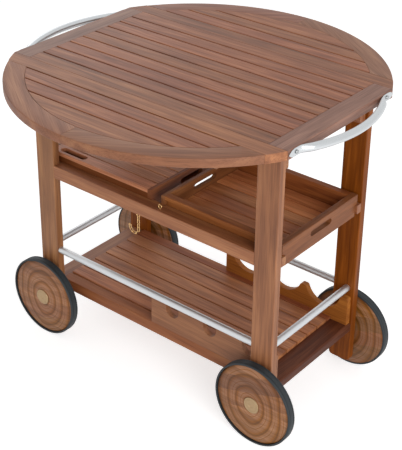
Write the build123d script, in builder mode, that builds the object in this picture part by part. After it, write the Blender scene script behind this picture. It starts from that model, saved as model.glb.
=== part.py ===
from build123d import *

import os
from math import cos, radians, sin, sqrt

# Outdoor bar cart with a round drop-leaf top, two trays and a bottle shelf.
# Millimetres. The front faces -Y, the open tray is at the +X end, +Z is up,
# and the origin is on the floor under the centre of the top.

# Round top
TOP_HEIGHT = 840.0
TOP_THICKNESS = 23.0
TOP_RADIUS = 485.0
TOP_HALF_LENGTH = 434.0
END_RAIL_WIDTH = 54.0
SLAT_PITCH = 48.5
SLAT_GAP = 4.0
FIXED_SLAT_COUNT = 9
LEAF_SLAT_COUNT = 3
BORDER_WIDTH = 54.0
JOINT_LINE = 0.8
EDGE_ROUND = 2.0
JOINT_ROUND = 0.5
CUT_MARGIN = 1.0

# Frame under the top
APRON_HEIGHT = 60.0
APRON_THICKNESS = 22.0
APRON_HALF_LENGTH = 390.0
TOP_BATTEN_WIDTH = 32.0
TOP_BATTEN_HEIGHT = 36.0
TOP_BATTEN_OFFSET = 356.0

# Legs
LEG_X = 367.0
LEG_WIDTH = 64.0
LEG_OUTER_Y = 194.5
LEG_THICKNESS = 22.5
LEG_BOTTOM = 32.0
LEG_FOOT_ROUND = 10.0

# Wheels and axles
WHEEL_X = 369.0
WHEEL_RADIUS = 115.5
WHEEL_INNER_Y = 206.0
WHEEL_WIDTH = 23.0
TYRE_THICKNESS = 5.0
TYRE_SHOULDER = 2.0
AXLE_RADIUS = 6.0
AXLE_END = 20.0
AXLE_HEAD_RADIUS = 10.0
AXLE_HEAD_LENGTH = 4.0
SPACER_RADIUS = 14.0
DISC_FACE_MARGIN = 8.0
DISC_FACE_SAG = 0.8
DISC_SHOULDER_DROP = 3.5
DISC_RIM_DROP = 6.0
DISC_CHAMFER = 1.0
HUB_CAP_RADIUS = 22.5
HUB_CAP_HEIGHT = 3.4
HUB_CAP_RIM = 1.4
HUB_CAP_SHOULDER = 5.0
HUB_CAP_BULGE = (1.2, 0.6)
HUB_RECESS_RADIUS = 6.0
HUB_RECESS_DEPTH = 1.0
RUNNING_CLEARANCE = 0.05
FACE_CLEARANCE = 0.4

# Rails that carry the trays
MID_RAIL_BOTTOM = 493.0
MID_RAIL_TOP = 530.0
RUNNER_BOTTOM = 503.0
RUNNER_TOP = 528.0
RUNNER_INNER_Y = 155.0
RUNNER_HALF_LENGTH = 399.0

# Trays
TRAY_NEAR_X = 17.0
TRAY_FAR_X = 393.0
TRAY_TOP = 556.0
TRAY_BOTTOM = 496.0
LEFT_TRAY_BOTTOM = 504.0
TRAY_EAR_HALF_WIDTH = 162.0
TRAY_HALF_WIDTH = 153.0
TRAY_SHOULDER = 528.3
TRAY_END_THICKNESS = 18.0
TRAY_INNER_END_THICKNESS = 12.0
TRAY_WALL_THICKNESS = 12.0
TRAY_RIM_HEIGHT = 10.0
TRAY_LEDGE_WIDTH = 10.0
TRAY_LEDGE_HEIGHT = 7.0
TRAY_FLOOR_THICKNESS = 9.0
TRAY_FLOOR_SLATS = 6
TRAY_FLOOR_PITCH = 46.6
HAND_SLOT_LENGTH = 90.0
HAND_SLOT_HEIGHT = 16.0
HAND_SLOT_Z = 533.0

# Slatted top of the left tray
DECK_SLATS = 8
DECK_PITCH = 40.75
DECK_GAP = 3.5
DECK_THICKNESS = 11.0
DECK_SKIRT_BOTTOM = 529.0
DECK_WALL_INNER_Y = 104.0
FINGER_SLOT_X = -308.5
FINGER_SLOT_LENGTH = 93.0
FINGER_SLOT_WIDTH = 20.0

# Bottom shelf
SHELF_HALF_LENGTH = 397.0
SHELF_RAIL_WIDTH = 54.0
SHELF_BOTTOM = 133.0
SHELF_RAIL_TOP = 157.0
SHELF_SIDE_TOP = 164.0
SHELF_TOP = 166.0
SHELF_SLAT_THICKNESS = 16.0
SHELF_SLAT_COUNT = 6
SHELF_SLAT_PITCH = 45.7
SHELF_LEDGE_WIDTH = 24.0
SHELF_LEDGE_HEIGHT = 17.0
SHELF_EDGE_ROUND = 7.0

# Boards that hold lying bottles
BOARD_THICKNESS = 16.0
BOARD_TOP = 240.0
BOARD_RIGHT = 392.0
FRONT_BOARD_LEFT = -10.0
BACK_BOARD_LEFT = -15.0
BOTTLE_X = (62.0, 187.0, 312.0)
NECK_RADIUS = 21.0
NECK_Z = 229.0
SCALLOP_RADIUS = 56.0
SCALLOP_Z = 244.0
SCALLOP_RIDGE_Z = 228.0
BOARD_CORNER = 7.0

# Guard bars
BAR_RADIUS = 9.5
BAR_Z = 263.5
SIDE_BAR_X = 377.0
LONG_BAR_DEPTH = 13.0
SIDE_BAR_DEPTH = 10.0

# Tube handles on the ends of the top
HANDLE_TUBE_RADIUS = 10.0
HANDLE_REACH = 481.0
HANDLE_ARC_RADIUS = 360.0
HANDLE_ARC_HALF = 145.0
HANDLE_TAB_START = 178.0
HANDLE_TAB_END = 211.0
HANDLE_TAB_THICKNESS = 3.0
HANDLE_TAB_HEIGHT = 21.0
HANDLE_TAB_CORNER = 8.0
HANDLE_SCREW_Y = 189.0
SCREW_RADIUS = 2.0
SCREW_LENGTH = 24.0
SCREW_HEAD_RADIUS = 5.0
SCREW_HEAD_HEIGHT = 2.4
SCREW_HEAD_ROUND = 1.9

# Leaf hinges
HINGE_LINE_Y = 218.25
HINGE_DROP = 3.0
HINGE_X = (-250.0, 0.0, 250.0)
KNUCKLE_RADIUS = 2.8
HINGE_PIN_RADIUS = 1.2
HINGE_LENGTH = 50.0
LEAF_KNUCKLE_LENGTH = 19.0
FIXED_KNUCKLE_LENGTH = 15.0
PLATE_THICKNESS = 2.0
PLATE_START = 4.25
PLATE_WIDTH = 32.0

# Battens and folding supports of the leaves
LEAF_BATTENS = ((-310.0, 335.0), (-100.0, 446.0), (100.0, 446.0), (310.0, 335.0))
LEAF_BATTEN_WIDTH = 36.0
LEAF_BATTEN_THICKNESS = 12.0
LEAF_BATTEN_START = 226.0
ARM_X = (-200.0, 200.0)
ARM_PIVOT_Y = 200.0
ARM_PIVOT_Z = 770.0
ARM_LENGTH = 108.0
ARM_REST_ANGLE = 22.0
ARM_HALF_HEIGHT = 5.0
ARM_WIDTH = 12.0
ARM_EYE_RADIUS = 7.0
ARM_PIN_RADIUS = 3.0
BRACKET_CHEEK_X = 8.5
CHEEK_THICKNESS = 3.0
CHEEK_RADIUS = 9.0
BRACKET_PLATE_WIDTH = 44.0
BRACKET_PLATE_HEIGHT = 28.0
BRACKET_PLATE_THICKNESS = 2.5

# Brass screw eyes and the hanging chain
RAIL_MIDDLE_Y = 183.25
TOP_EYE_X = 32.0
CHAIN_EYE_X = -42.0
EYE_SHANK_RADIUS = 1.5
EYE_SHANK_DEPTH = 12.0
EYE_RING_RADIUS = 5.0
EYE_WIRE_RADIUS = 1.3
EYE_STAND_OFF = 7.0
LINK_WIRE_RADIUS = 0.9
LINK_BEND_RADIUS = 3.2
LINK_HALF_STRAIGHT = 3.5
LINK_CLEARANCE = 0.2
CHAIN_TURNS = (0.0, 0.0, 0.0, 0.0, 45.0, 90.0, 135.0, 170.0)

UNDERSIDE = TOP_HEIGHT - TOP_THICKNESS
TOP_MIDDLE_Z = TOP_HEIGHT - TOP_THICKNESS / 2
SLAT_WIDTH = SLAT_PITCH - SLAT_GAP
FIXED_HALF_WIDTH = HINGE_LINE_Y - JOINT_LINE / 2
LEAF_START_Y = HINGE_LINE_Y + JOINT_LINE / 2
HINGE_LINE_Z = UNDERSIDE - HINGE_DROP
LEG_INNER_Y = LEG_OUTER_Y - LEG_THICKNESS
LEG_INNER_X = LEG_X - LEG_WIDTH / 2
AXLE_Z = WHEEL_RADIUS
ENDS = (("left", -1), ("right", 1))
SIDES = (("front", -1), ("back", 1))

os.makedirs("parts", exist_ok=True)

# Legs, with bores for the axle and for the guard bars
for end, x_side in ENDS:
    for side, y_side in SIDES:
        leg_centre = (x_side * LEG_X, y_side * (LEG_INNER_Y + LEG_THICKNESS / 2))
        with BuildPart() as leg:
            with BuildSketch(Plane.XY.offset(LEG_BOTTOM)):
                with Locations(leg_centre):
                    Rectangle(LEG_WIDTH, LEG_THICKNESS)
            extrude(amount=UNDERSIDE - LEG_BOTTOM)
            fillet(leg.edges().group_by(Axis.Z)[0].filter_by(Axis.Y), LEG_FOOT_ROUND)
            broad_edges = leg.faces().filter_by(Axis.Y).edges()
            fillet(broad_edges.filter_by(lambda edge: edge.center().Z < UNDERSIDE - CUT_MARGIN), EDGE_ROUND)
            with BuildSketch(Plane.XZ):
                with Locations((x_side * WHEEL_X, AXLE_Z)):
                    Circle(AXLE_RADIUS + RUNNING_CLEARANCE)
            extrude(amount=LEG_OUTER_Y + CUT_MARGIN, both=True, mode=Mode.SUBTRACT)
            with BuildSketch(Plane.XZ.offset(-y_side * LEG_INNER_Y)):
                with Locations((x_side * SIDE_BAR_X, BAR_Z)):
                    Circle(BAR_RADIUS + RUNNING_CLEARANCE)
            extrude(amount=-y_side * (SIDE_BAR_DEPTH + FACE_CLEARANCE), mode=Mode.SUBTRACT)
            with BuildSketch(Plane.YZ.offset(x_side * LEG_INNER_X)):
                with Locations((y_side * RAIL_MIDDLE_Y, BAR_Z)):
                    Circle(BAR_RADIUS + RUNNING_CLEARANCE)
            extrude(amount=x_side * (LONG_BAR_DEPTH + FACE_CLEARANCE), mode=Mode.SUBTRACT)
        leg.part.label = f"leg_{side}_{end}"
        export_step(leg.part, f"parts/leg_{side}_{end}.step")

# Aprons under the front and back of the fixed top
for side, y_side in SIDES:
    with BuildPart() as apron:
        with Locations((0, y_side * (LEG_INNER_Y - APRON_THICKNESS / 2), UNDERSIDE - APRON_HEIGHT / 2)):
            Box(2 * APRON_HALF_LENGTH, APRON_THICKNESS, APRON_HEIGHT)
        fillet(apron.edges().filter_by(Axis.X).group_by(Axis.Z)[0], EDGE_ROUND)
    apron.part.label = f"apron_{side}"
    export_step(apron.part, f"parts/apron_{side}.step")

# Cross battens between the aprons
batten_z = UNDERSIDE - TOP_BATTEN_HEIGHT / 2
with BuildPart() as top_battens:
    with Locations(*[(x, 0, batten_z) for x in (-TOP_BATTEN_OFFSET, 0, TOP_BATTEN_OFFSET)]):
        Box(TOP_BATTEN_WIDTH, 2 * (LEG_INNER_Y - APRON_THICKNESS), TOP_BATTEN_HEIGHT)
    fillet(top_battens.edges().filter_by(Axis.Y).group_by(Axis.Z)[0], EDGE_ROUND)
top_battens.part.label = "top_battens"
export_step(top_battens.part, "parts/top_battens.step")

# End rails of the fixed top, bored for the handle screws
for end, x_side in ENDS:
    rail_centre = (x_side * (TOP_HALF_LENGTH - END_RAIL_WIDTH / 2), 0, TOP_MIDDLE_Z)
    with BuildPart() as end_rail:
        with Locations(rail_centre):
            Box(END_RAIL_WIDTH, 2 * FIXED_HALF_WIDTH, TOP_THICKNESS)
        top_edges = end_rail.edges().group_by(Axis.Z)[-1].sort_by(Axis.X)
        outer_edge = top_edges[-1] if x_side > 0 else top_edges[0]
        fillet(outer_edge, EDGE_ROUND)
        with BuildSketch(Plane.YZ.offset(x_side * TOP_HALF_LENGTH)):
            with Locations(*[(y_side * HANDLE_SCREW_Y, TOP_MIDDLE_Z) for y_side in (-1, 1)]):
                Circle(SCREW_RADIUS + RUNNING_CLEARANCE)
        extrude(amount=-x_side * (SCREW_LENGTH + CUT_MARGIN), mode=Mode.SUBTRACT)
    end_rail.part.label = f"top_end_rail_{end}"
    export_step(end_rail.part, f"parts/top_end_rail_{end}.step")

# Slats of the fixed top, the outermost widened up to the leaves
top_slat_length = 2 * (TOP_HALF_LENGTH - END_RAIL_WIDTH - JOINT_LINE)
edge_slat_start_y = SLAT_PITCH * (FIXED_SLAT_COUNT - 2) / 2 + SLAT_GAP / 2
with BuildPart() as top_slats:
    with Locations((0, 0, TOP_MIDDLE_Z)):
        with GridLocations(0, SLAT_PITCH, 1, FIXED_SLAT_COUNT - 2):
            Box(top_slat_length, SLAT_WIDTH, TOP_THICKNESS)
    for side, y_side in SIDES:
        with Locations((0, y_side * (edge_slat_start_y + FIXED_HALF_WIDTH) / 2, TOP_MIDDLE_Z)):
            Box(top_slat_length, FIXED_HALF_WIDTH - edge_slat_start_y, TOP_THICKNESS)
    long_edges = top_slats.edges().filter_by(Axis.X).group_by(Axis.Z)[-1].sort_by(Axis.Y)
    fillet(long_edges[1:-1], EDGE_ROUND)
    fillet(top_slats.edges().filter_by(Axis.X).group_by(Axis.Z)[-1].sort_by(Axis.Y)[0], JOINT_ROUND)
    fillet(top_slats.edges().filter_by(Axis.X).group_by(Axis.Z)[-1].sort_by(Axis.Y)[-1], JOINT_ROUND)
top_slats.part.label = "top_slats"
export_step(top_slats.part, "parts/top_slats.step")

# Drop leaves: hinge rail, slats, curved border and battens
rail_end_y = HINGE_LINE_Y + SLAT_PITCH - SLAT_GAP / 2
border_start_y = rail_end_y + JOINT_LINE
border_inner_radius = TOP_RADIUS - BORDER_WIDTH
leaf_reach = TOP_RADIUS - border_start_y
for side, y_side in SIDES:
    with BuildPart() as leaf_rail:
        with Locations((0, y_side * (LEAF_START_Y + rail_end_y) / 2, TOP_MIDDLE_Z)):
            Box(2 * TOP_RADIUS, rail_end_y - LEAF_START_Y, TOP_THICKNESS)
        fillet(leaf_rail.edges().filter_by(Axis.X).group_by(Axis.Z)[-1], JOINT_ROUND)
        with Locations((0, 0, TOP_MIDDLE_Z)):
            Cylinder(TOP_RADIUS, TOP_THICKNESS, mode=Mode.INTERSECT)
    leaf_rail.part.label = f"{side}_leaf_rail"
    export_step(leaf_rail.part, f"parts/{side}_leaf_rail.step")

    first_slat_y = rail_end_y + SLAT_GAP + SLAT_WIDTH / 2
    inner_slats_y = [first_slat_y + number * SLAT_PITCH for number in range(LEAF_SLAT_COUNT)]
    with BuildPart() as leaf_slats:
        with Locations(*[(0, y_side * y, TOP_MIDDLE_Z) for y in inner_slats_y[:-1]]):
            Box(2 * TOP_RADIUS, SLAT_WIDTH, TOP_THICKNESS)
        with Locations((0, y_side * (inner_slats_y[-1] + SLAT_WIDTH / 2), TOP_MIDDLE_Z)):
            Box(2 * TOP_RADIUS, 2 * SLAT_WIDTH, TOP_THICKNESS)
        fillet(leaf_slats.edges().filter_by(Axis.X).group_by(Axis.Z)[-1], EDGE_ROUND)
        with Locations((0, 0, TOP_MIDDLE_Z)):
            Cylinder(border_inner_radius - JOINT_LINE, TOP_THICKNESS, mode=Mode.INTERSECT)
    leaf_slats.part.label = f"{side}_leaf_slats"
    export_step(leaf_slats.part, f"parts/{side}_leaf_slats.step")

    with BuildPart() as leaf_border:
        with BuildSketch(Plane.XY.offset(UNDERSIDE)):
            Circle(TOP_RADIUS)
            Circle(border_inner_radius, mode=Mode.SUBTRACT)
            with Locations((0, y_side * (border_start_y + leaf_reach / 2))):
                Rectangle(2 * TOP_RADIUS, leaf_reach, mode=Mode.INTERSECT)
            with Locations((0, y_side * TOP_RADIUS / 2)):
                Rectangle(JOINT_LINE, TOP_RADIUS, mode=Mode.SUBTRACT)
        extrude(amount=TOP_THICKNESS)
        outer_arcs = leaf_border.edges().filter_by(GeomType.CIRCLE).group_by(SortBy.RADIUS)[-1]
        chamfer(outer_arcs, EDGE_ROUND)
    leaf_border.part.label = f"{side}_leaf_border"
    export_step(leaf_border.part, f"parts/{side}_leaf_border.step")

    with BuildPart() as leaf_battens:
        for batten_x, batten_end in LEAF_BATTENS:
            batten_middle = (LEAF_BATTEN_START + batten_end) / 2
            with Locations((batten_x, y_side * batten_middle, UNDERSIDE - LEAF_BATTEN_THICKNESS / 2)):
                Box(LEAF_BATTEN_WIDTH, batten_end - LEAF_BATTEN_START, LEAF_BATTEN_THICKNESS)
        fillet(leaf_battens.edges().group_by(Axis.Z)[0], EDGE_ROUND)
    leaf_battens.part.label = f"{side}_leaf_battens"
    export_step(leaf_battens.part, f"parts/{side}_leaf_battens.step")

# Butt hinges: the fixed half carries the pin and the outer knuckles
fixed_knuckle_x = (HINGE_LENGTH - FIXED_KNUCKLE_LENGTH) / 2
web_height = KNUCKLE_RADIUS - HINGE_DROP + PLATE_THICKNESS
web_z = HINGE_LINE_Z + KNUCKLE_RADIUS - web_height / 2
plate_z = UNDERSIDE - PLATE_THICKNESS / 2
with BuildPart() as hinge_plates:
    for side, y_side in SIDES:
        plate_y = y_side * (HINGE_LINE_Y - PLATE_START - PLATE_WIDTH / 2)
        web_y = y_side * (HINGE_LINE_Y - PLATE_START / 2)
        for hinge_x in HINGE_X:
            with Locations((hinge_x, plate_y, plate_z)):
                Box(HINGE_LENGTH, PLATE_WIDTH, PLATE_THICKNESS)
            for knuckle_x in (hinge_x - fixed_knuckle_x, hinge_x + fixed_knuckle_x):
                with Locations((knuckle_x, web_y, web_z)):
                    Box(FIXED_KNUCKLE_LENGTH, PLATE_START, web_height)
                with BuildSketch(Plane.YZ.offset(knuckle_x)):
                    with Locations((y_side * HINGE_LINE_Y, HINGE_LINE_Z)):
                        Circle(KNUCKLE_RADIUS)
                extrude(amount=FIXED_KNUCKLE_LENGTH / 2, both=True)
            with BuildSketch(Plane.YZ.offset(hinge_x)):
                with Locations((y_side * HINGE_LINE_Y, HINGE_LINE_Z)):
                    Circle(HINGE_PIN_RADIUS)
            extrude(amount=HINGE_LENGTH / 2, both=True)
hinge_plates.part.label = "hinge_plates"
export_step(hinge_plates.part, "parts/hinge_plates.step")

# Butt hinges: the leaf half carries the middle knuckle
for side, y_side in SIDES:
    with BuildPart() as leaf_hinges:
        plate_y = y_side * (HINGE_LINE_Y + PLATE_START + PLATE_WIDTH / 2)
        web_y = y_side * (HINGE_LINE_Y + PLATE_START / 2)
        for hinge_x in HINGE_X:
            with Locations((hinge_x, plate_y, plate_z)):
                Box(HINGE_LENGTH, PLATE_WIDTH, PLATE_THICKNESS)
            with Locations((hinge_x, web_y, web_z)):
                Box(LEAF_KNUCKLE_LENGTH, PLATE_START, web_height)
            with BuildSketch(Plane.YZ.offset(hinge_x)):
                with Locations((y_side * HINGE_LINE_Y, HINGE_LINE_Z)):
                    Circle(KNUCKLE_RADIUS)
            extrude(amount=LEAF_KNUCKLE_LENGTH / 2, both=True)
            with BuildSketch(Plane.YZ.offset(hinge_x)):
                with Locations((y_side * HINGE_LINE_Y, HINGE_LINE_Z)):
                    Circle(HINGE_PIN_RADIUS + RUNNING_CLEARANCE)
            extrude(amount=HINGE_LENGTH / 2, both=True, mode=Mode.SUBTRACT)
    leaf_hinges.part.label = f"{side}_leaf_hinges"
    export_step(leaf_hinges.part, f"parts/{side}_leaf_hinges.step")

# Forked brackets on the aprons for the folding leaf supports
with BuildPart() as arm_brackets:
    for side, y_side in SIDES:
        plate_face = LEG_INNER_Y + BRACKET_PLATE_THICKNESS
        cheek_reach = ARM_PIVOT_Y - plate_face
        for arm_x in ARM_X:
            with Locations((arm_x, y_side * (LEG_INNER_Y + BRACKET_PLATE_THICKNESS / 2), ARM_PIVOT_Z)):
                Box(BRACKET_PLATE_WIDTH, BRACKET_PLATE_THICKNESS, BRACKET_PLATE_HEIGHT)
            for cheek_x in (arm_x - BRACKET_CHEEK_X, arm_x + BRACKET_CHEEK_X):
                with BuildSketch(Plane.YZ.offset(cheek_x)):
                    with Locations((y_side * ARM_PIVOT_Y, ARM_PIVOT_Z)):
                        Circle(CHEEK_RADIUS)
                    with Locations((y_side * (plate_face + cheek_reach / 2), ARM_PIVOT_Z)):
                        Rectangle(cheek_reach, 2 * CHEEK_RADIUS)
                extrude(amount=CHEEK_THICKNESS / 2, both=True)
            with BuildSketch(Plane.YZ.offset(arm_x)):
                with Locations((y_side * ARM_PIVOT_Y, ARM_PIVOT_Z)):
                    Circle(ARM_PIN_RADIUS)
            extrude(amount=BRACKET_CHEEK_X + CHEEK_THICKNESS / 2, both=True)
arm_brackets.part.label = "arm_brackets"
export_step(arm_brackets.part, "parts/arm_brackets.step")

# Folding supports, one pair to each leaf
arm_middle_reach = ARM_LENGTH / 2 * cos(radians(ARM_REST_ANGLE))
arm_middle_z = ARM_PIVOT_Z + ARM_LENGTH / 2 * sin(radians(ARM_REST_ANGLE))
for side, y_side in SIDES:
    with BuildPart() as leaf_arms:
        for arm_x in ARM_X:
            with BuildSketch(Plane.YZ.offset(arm_x)):
                with Locations((y_side * (ARM_PIVOT_Y + arm_middle_reach), arm_middle_z)):
                    SlotCenterToCenter(ARM_LENGTH, 2 * ARM_HALF_HEIGHT, rotation=y_side * ARM_REST_ANGLE)
                with Locations((y_side * ARM_PIVOT_Y, ARM_PIVOT_Z)):
                    Circle(ARM_EYE_RADIUS)
                    Circle(ARM_PIN_RADIUS + RUNNING_CLEARANCE, mode=Mode.SUBTRACT)
            extrude(amount=ARM_WIDTH / 2, both=True)
    leaf_arms.part.label = f"{side}_leaf_arms"
    export_step(leaf_arms.part, f"parts/{side}_leaf_arms.step")

# Tube handles that complete the round outline, with flattened ends
arc_end_depth = sqrt(HANDLE_ARC_RADIUS**2 - HANDLE_ARC_HALF**2)
arc_end_x = HANDLE_REACH - HANDLE_ARC_RADIUS + arc_end_depth
arc_end_slope = HANDLE_ARC_HALF / arc_end_depth
tab_x = TOP_HALF_LENGTH + HANDLE_TAB_THICKNESS / 2
tab_length = HANDLE_TAB_END - HANDLE_TAB_START
for end, x_side in ENDS:
    with BuildPart() as handle:
        with BuildLine(Plane.XY.offset(TOP_MIDDLE_Z)) as handle_path:
            ThreePointArc(
                (x_side * arc_end_x, -HANDLE_ARC_HALF),
                (x_side * HANDLE_REACH, 0),
                (x_side * arc_end_x, HANDLE_ARC_HALF),
            )
        with BuildSketch(handle_path.line ^ 0):
            Circle(HANDLE_TUBE_RADIUS)
        sweep(path=handle_path.line)
        for y_side in (-1, 1):
            tube_end = Plane(
                origin=(x_side * arc_end_x, y_side * HANDLE_ARC_HALF, TOP_MIDDLE_Z),
                x_dir=(0, 0, 1),
                z_dir=(-x_side * arc_end_slope, y_side, 0),
            )
            tab_start = Plane(
                origin=(x_side * tab_x, y_side * HANDLE_TAB_START, TOP_MIDDLE_Z),
                x_dir=(0, 0, 1),
                z_dir=(0, y_side, 0),
            )
            with BuildSketch(tube_end):
                Circle(HANDLE_TUBE_RADIUS)
            with BuildSketch(tab_start):
                Ellipse(HANDLE_TAB_HEIGHT / 2, HANDLE_TAB_THICKNESS / 2)
            loft()
            with BuildSketch(Plane.YZ.offset(x_side * TOP_HALF_LENGTH)):
                with Locations((y_side * (HANDLE_TAB_START + tab_length / 2), TOP_MIDDLE_Z)):
                    Rectangle(tab_length, HANDLE_TAB_HEIGHT)
            extrude(amount=x_side * HANDLE_TAB_THICKNESS)
        cross_edges = handle.edges().filter_by(Axis.X)
        tip_edges = cross_edges.filter_by(lambda edge: abs(edge.center().Y) > HANDLE_TAB_END - CUT_MARGIN)
        fillet(tip_edges, HANDLE_TAB_CORNER)
        with BuildSketch(Plane.YZ.offset(x_side * TOP_HALF_LENGTH)):
            with Locations(*[(y_side * HANDLE_SCREW_Y, TOP_MIDDLE_Z) for y_side in (-1, 1)]):
                Circle(SCREW_RADIUS + RUNNING_CLEARANCE)
        extrude(amount=x_side * 2 * HANDLE_TAB_THICKNESS, mode=Mode.SUBTRACT)
    handle.part.label = f"handle_{end}"
    export_step(handle.part, f"parts/handle_{end}.step")

# Round-headed screws through the handle ends
head_base_x = TOP_HALF_LENGTH + HANDLE_TAB_THICKNESS
with BuildPart() as handle_screws:
    for end, x_side in ENDS:
        for y_side in (-1, 1):
            screw_axis = Plane(
                origin=(x_side * head_base_x, y_side * HANDLE_SCREW_Y, TOP_MIDDLE_Z), z_dir=(x_side, 0, 0)
            )
            with BuildSketch(screw_axis):
                Circle(SCREW_HEAD_RADIUS)
            extrude(amount=SCREW_HEAD_HEIGHT)
            with BuildSketch(screw_axis):
                Circle(SCREW_RADIUS)
            extrude(amount=-SCREW_LENGTH)
    head_rims = handle_screws.edges().filter_by(GeomType.CIRCLE).filter_by(
        lambda edge: abs(edge.center().X) > head_base_x + SCREW_HEAD_HEIGHT / 2
    )
    fillet(head_rims, SCREW_HEAD_ROUND)
handle_screws.part.label = "handle_screws"
export_step(handle_screws.part, "parts/handle_screws.step")

# Rails that join the legs at tray height, bored for the screw eyes
for side, y_side in SIDES:
    with BuildPart() as mid_rail:
        with Locations((0, y_side * RAIL_MIDDLE_Y, (MID_RAIL_BOTTOM + MID_RAIL_TOP) / 2)):
            Box(2 * LEG_INNER_X, LEG_THICKNESS, MID_RAIL_TOP - MID_RAIL_BOTTOM)
        fillet(mid_rail.edges().filter_by(Axis.X), EDGE_ROUND)
        if side == "front":
            with BuildSketch(Plane.XY.offset(MID_RAIL_TOP)):
                with Locations((TOP_EYE_X, -RAIL_MIDDLE_Y)):
                    Circle(EYE_SHANK_RADIUS + RUNNING_CLEARANCE)
            extrude(amount=-EYE_SHANK_DEPTH - CUT_MARGIN, mode=Mode.SUBTRACT)
            with BuildSketch(Plane.XY.offset(MID_RAIL_BOTTOM)):
                with Locations((CHAIN_EYE_X, -RAIL_MIDDLE_Y)):
                    Circle(EYE_SHANK_RADIUS + RUNNING_CLEARANCE)
            extrude(amount=EYE_SHANK_DEPTH + CUT_MARGIN, mode=Mode.SUBTRACT)
    mid_rail.part.label = f"mid_rail_{side}"
    export_step(mid_rail.part, f"parts/mid_rail_{side}.step")

# Runners that the trays rest and slide on
with BuildPart() as tray_runners:
    for side, y_side in SIDES:
        with Locations((0, y_side * (RUNNER_INNER_Y + LEG_INNER_Y) / 2, (RUNNER_BOTTOM + RUNNER_TOP) / 2)):
            Box(2 * RUNNER_HALF_LENGTH, LEG_INNER_Y - RUNNER_INNER_Y, RUNNER_TOP - RUNNER_BOTTOM)
    fillet(tray_runners.edges().filter_by(Axis.X), EDGE_ROUND / 2)
tray_runners.part.label = "tray_runners"
export_step(tray_runners.part, "parts/tray_runners.step")

# End walls of both trays, with ears that rest on the runners
wall_end_near = TRAY_NEAR_X + TRAY_INNER_END_THICKNESS
wall_end_far = TRAY_FAR_X - TRAY_END_THICKNESS
tray_middle_x = (wall_end_near + wall_end_far) / 2
end_walls = (
    ("inner", TRAY_NEAR_X, TRAY_INNER_END_THICKNESS),
    ("outer", wall_end_far, TRAY_END_THICKNESS),
)
for end, x_side in ENDS:
    end_bottom = LEFT_TRAY_BOTTOM if end == "left" else TRAY_BOTTOM
    for place, wall_x, thickness in end_walls:
        with BuildPart() as tray_end:
            with BuildSketch(Plane.YZ.offset(x_side * wall_x)):
                with Locations((0, (end_bottom + TRAY_TOP) / 2)):
                    Rectangle(2 * TRAY_HALF_WIDTH, TRAY_TOP - end_bottom)
                with Locations((0, (TRAY_SHOULDER + TRAY_TOP) / 2)):
                    Rectangle(2 * TRAY_EAR_HALF_WIDTH, TRAY_TOP - TRAY_SHOULDER)
                with Locations((0, HAND_SLOT_Z)):
                    SlotOverall(HAND_SLOT_LENGTH, HAND_SLOT_HEIGHT, mode=Mode.SUBTRACT)
            extrude(amount=x_side * thickness)
            fillet(tray_end.edges().group_by(Axis.Z)[-1].filter_by(Axis.Y), EDGE_ROUND)
            bottom_edges = tray_end.edges().filter_by(Axis.X)
            bottom_edges = bottom_edges.filter_by(lambda edge: edge.center().Z < end_bottom + CUT_MARGIN)
            fillet(bottom_edges, EDGE_ROUND)
        tray_end.part.label = f"{end}_tray_end_{place}"
        export_step(tray_end.part, f"parts/{end}_tray_end_{place}.step")

# Long walls of the open tray, with a rim outside and a ledge inside for the floor
wall_inner_y = TRAY_HALF_WIDTH - TRAY_WALL_THICKNESS
wall_middle_y = TRAY_HALF_WIDTH - TRAY_WALL_THICKNESS / 2
rim_middle_y = (wall_inner_y + TRAY_EAR_HALF_WIDTH) / 2
ledge_middle_y = wall_inner_y - TRAY_LEDGE_WIDTH / 2
with BuildPart() as right_tray_walls:
    for side, y_side in SIDES:
        with BuildSketch(Plane.YZ.offset(wall_end_near)):
            with Locations((y_side * wall_middle_y, (TRAY_BOTTOM + TRAY_TOP) / 2)):
                Rectangle(TRAY_WALL_THICKNESS, TRAY_TOP - TRAY_BOTTOM)
            with Locations((y_side * rim_middle_y, TRAY_TOP - TRAY_RIM_HEIGHT / 2)):
                Rectangle(TRAY_EAR_HALF_WIDTH - wall_inner_y, TRAY_RIM_HEIGHT)
            with Locations((y_side * ledge_middle_y, TRAY_BOTTOM + TRAY_LEDGE_HEIGHT / 2)):
                Rectangle(TRAY_LEDGE_WIDTH, TRAY_LEDGE_HEIGHT)
        extrude(amount=wall_end_far - wall_end_near)
    fillet(right_tray_walls.edges().filter_by(Axis.X).group_by(Axis.Z)[-1], EDGE_ROUND)
right_tray_walls.part.label = "right_tray_walls"
export_step(right_tray_walls.part, "parts/right_tray_walls.step")

# Floor slats of the open tray
floor_z = TRAY_BOTTOM + TRAY_LEDGE_HEIGHT + TRAY_FLOOR_THICKNESS / 2
with BuildPart() as right_tray_floor:
    with Locations((tray_middle_x, 0, floor_z)):
        with GridLocations(0, TRAY_FLOOR_PITCH, 1, TRAY_FLOOR_SLATS):
            Box(wall_end_far - wall_end_near, TRAY_FLOOR_PITCH - SLAT_GAP, TRAY_FLOOR_THICKNESS)
    fillet(right_tray_floor.edges().filter_by(Axis.X).group_by(Axis.Z)[-1], EDGE_ROUND / 2)
right_tray_floor.part.label = "right_tray_floor"
export_step(right_tray_floor.part, "parts/right_tray_floor.step")

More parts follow.
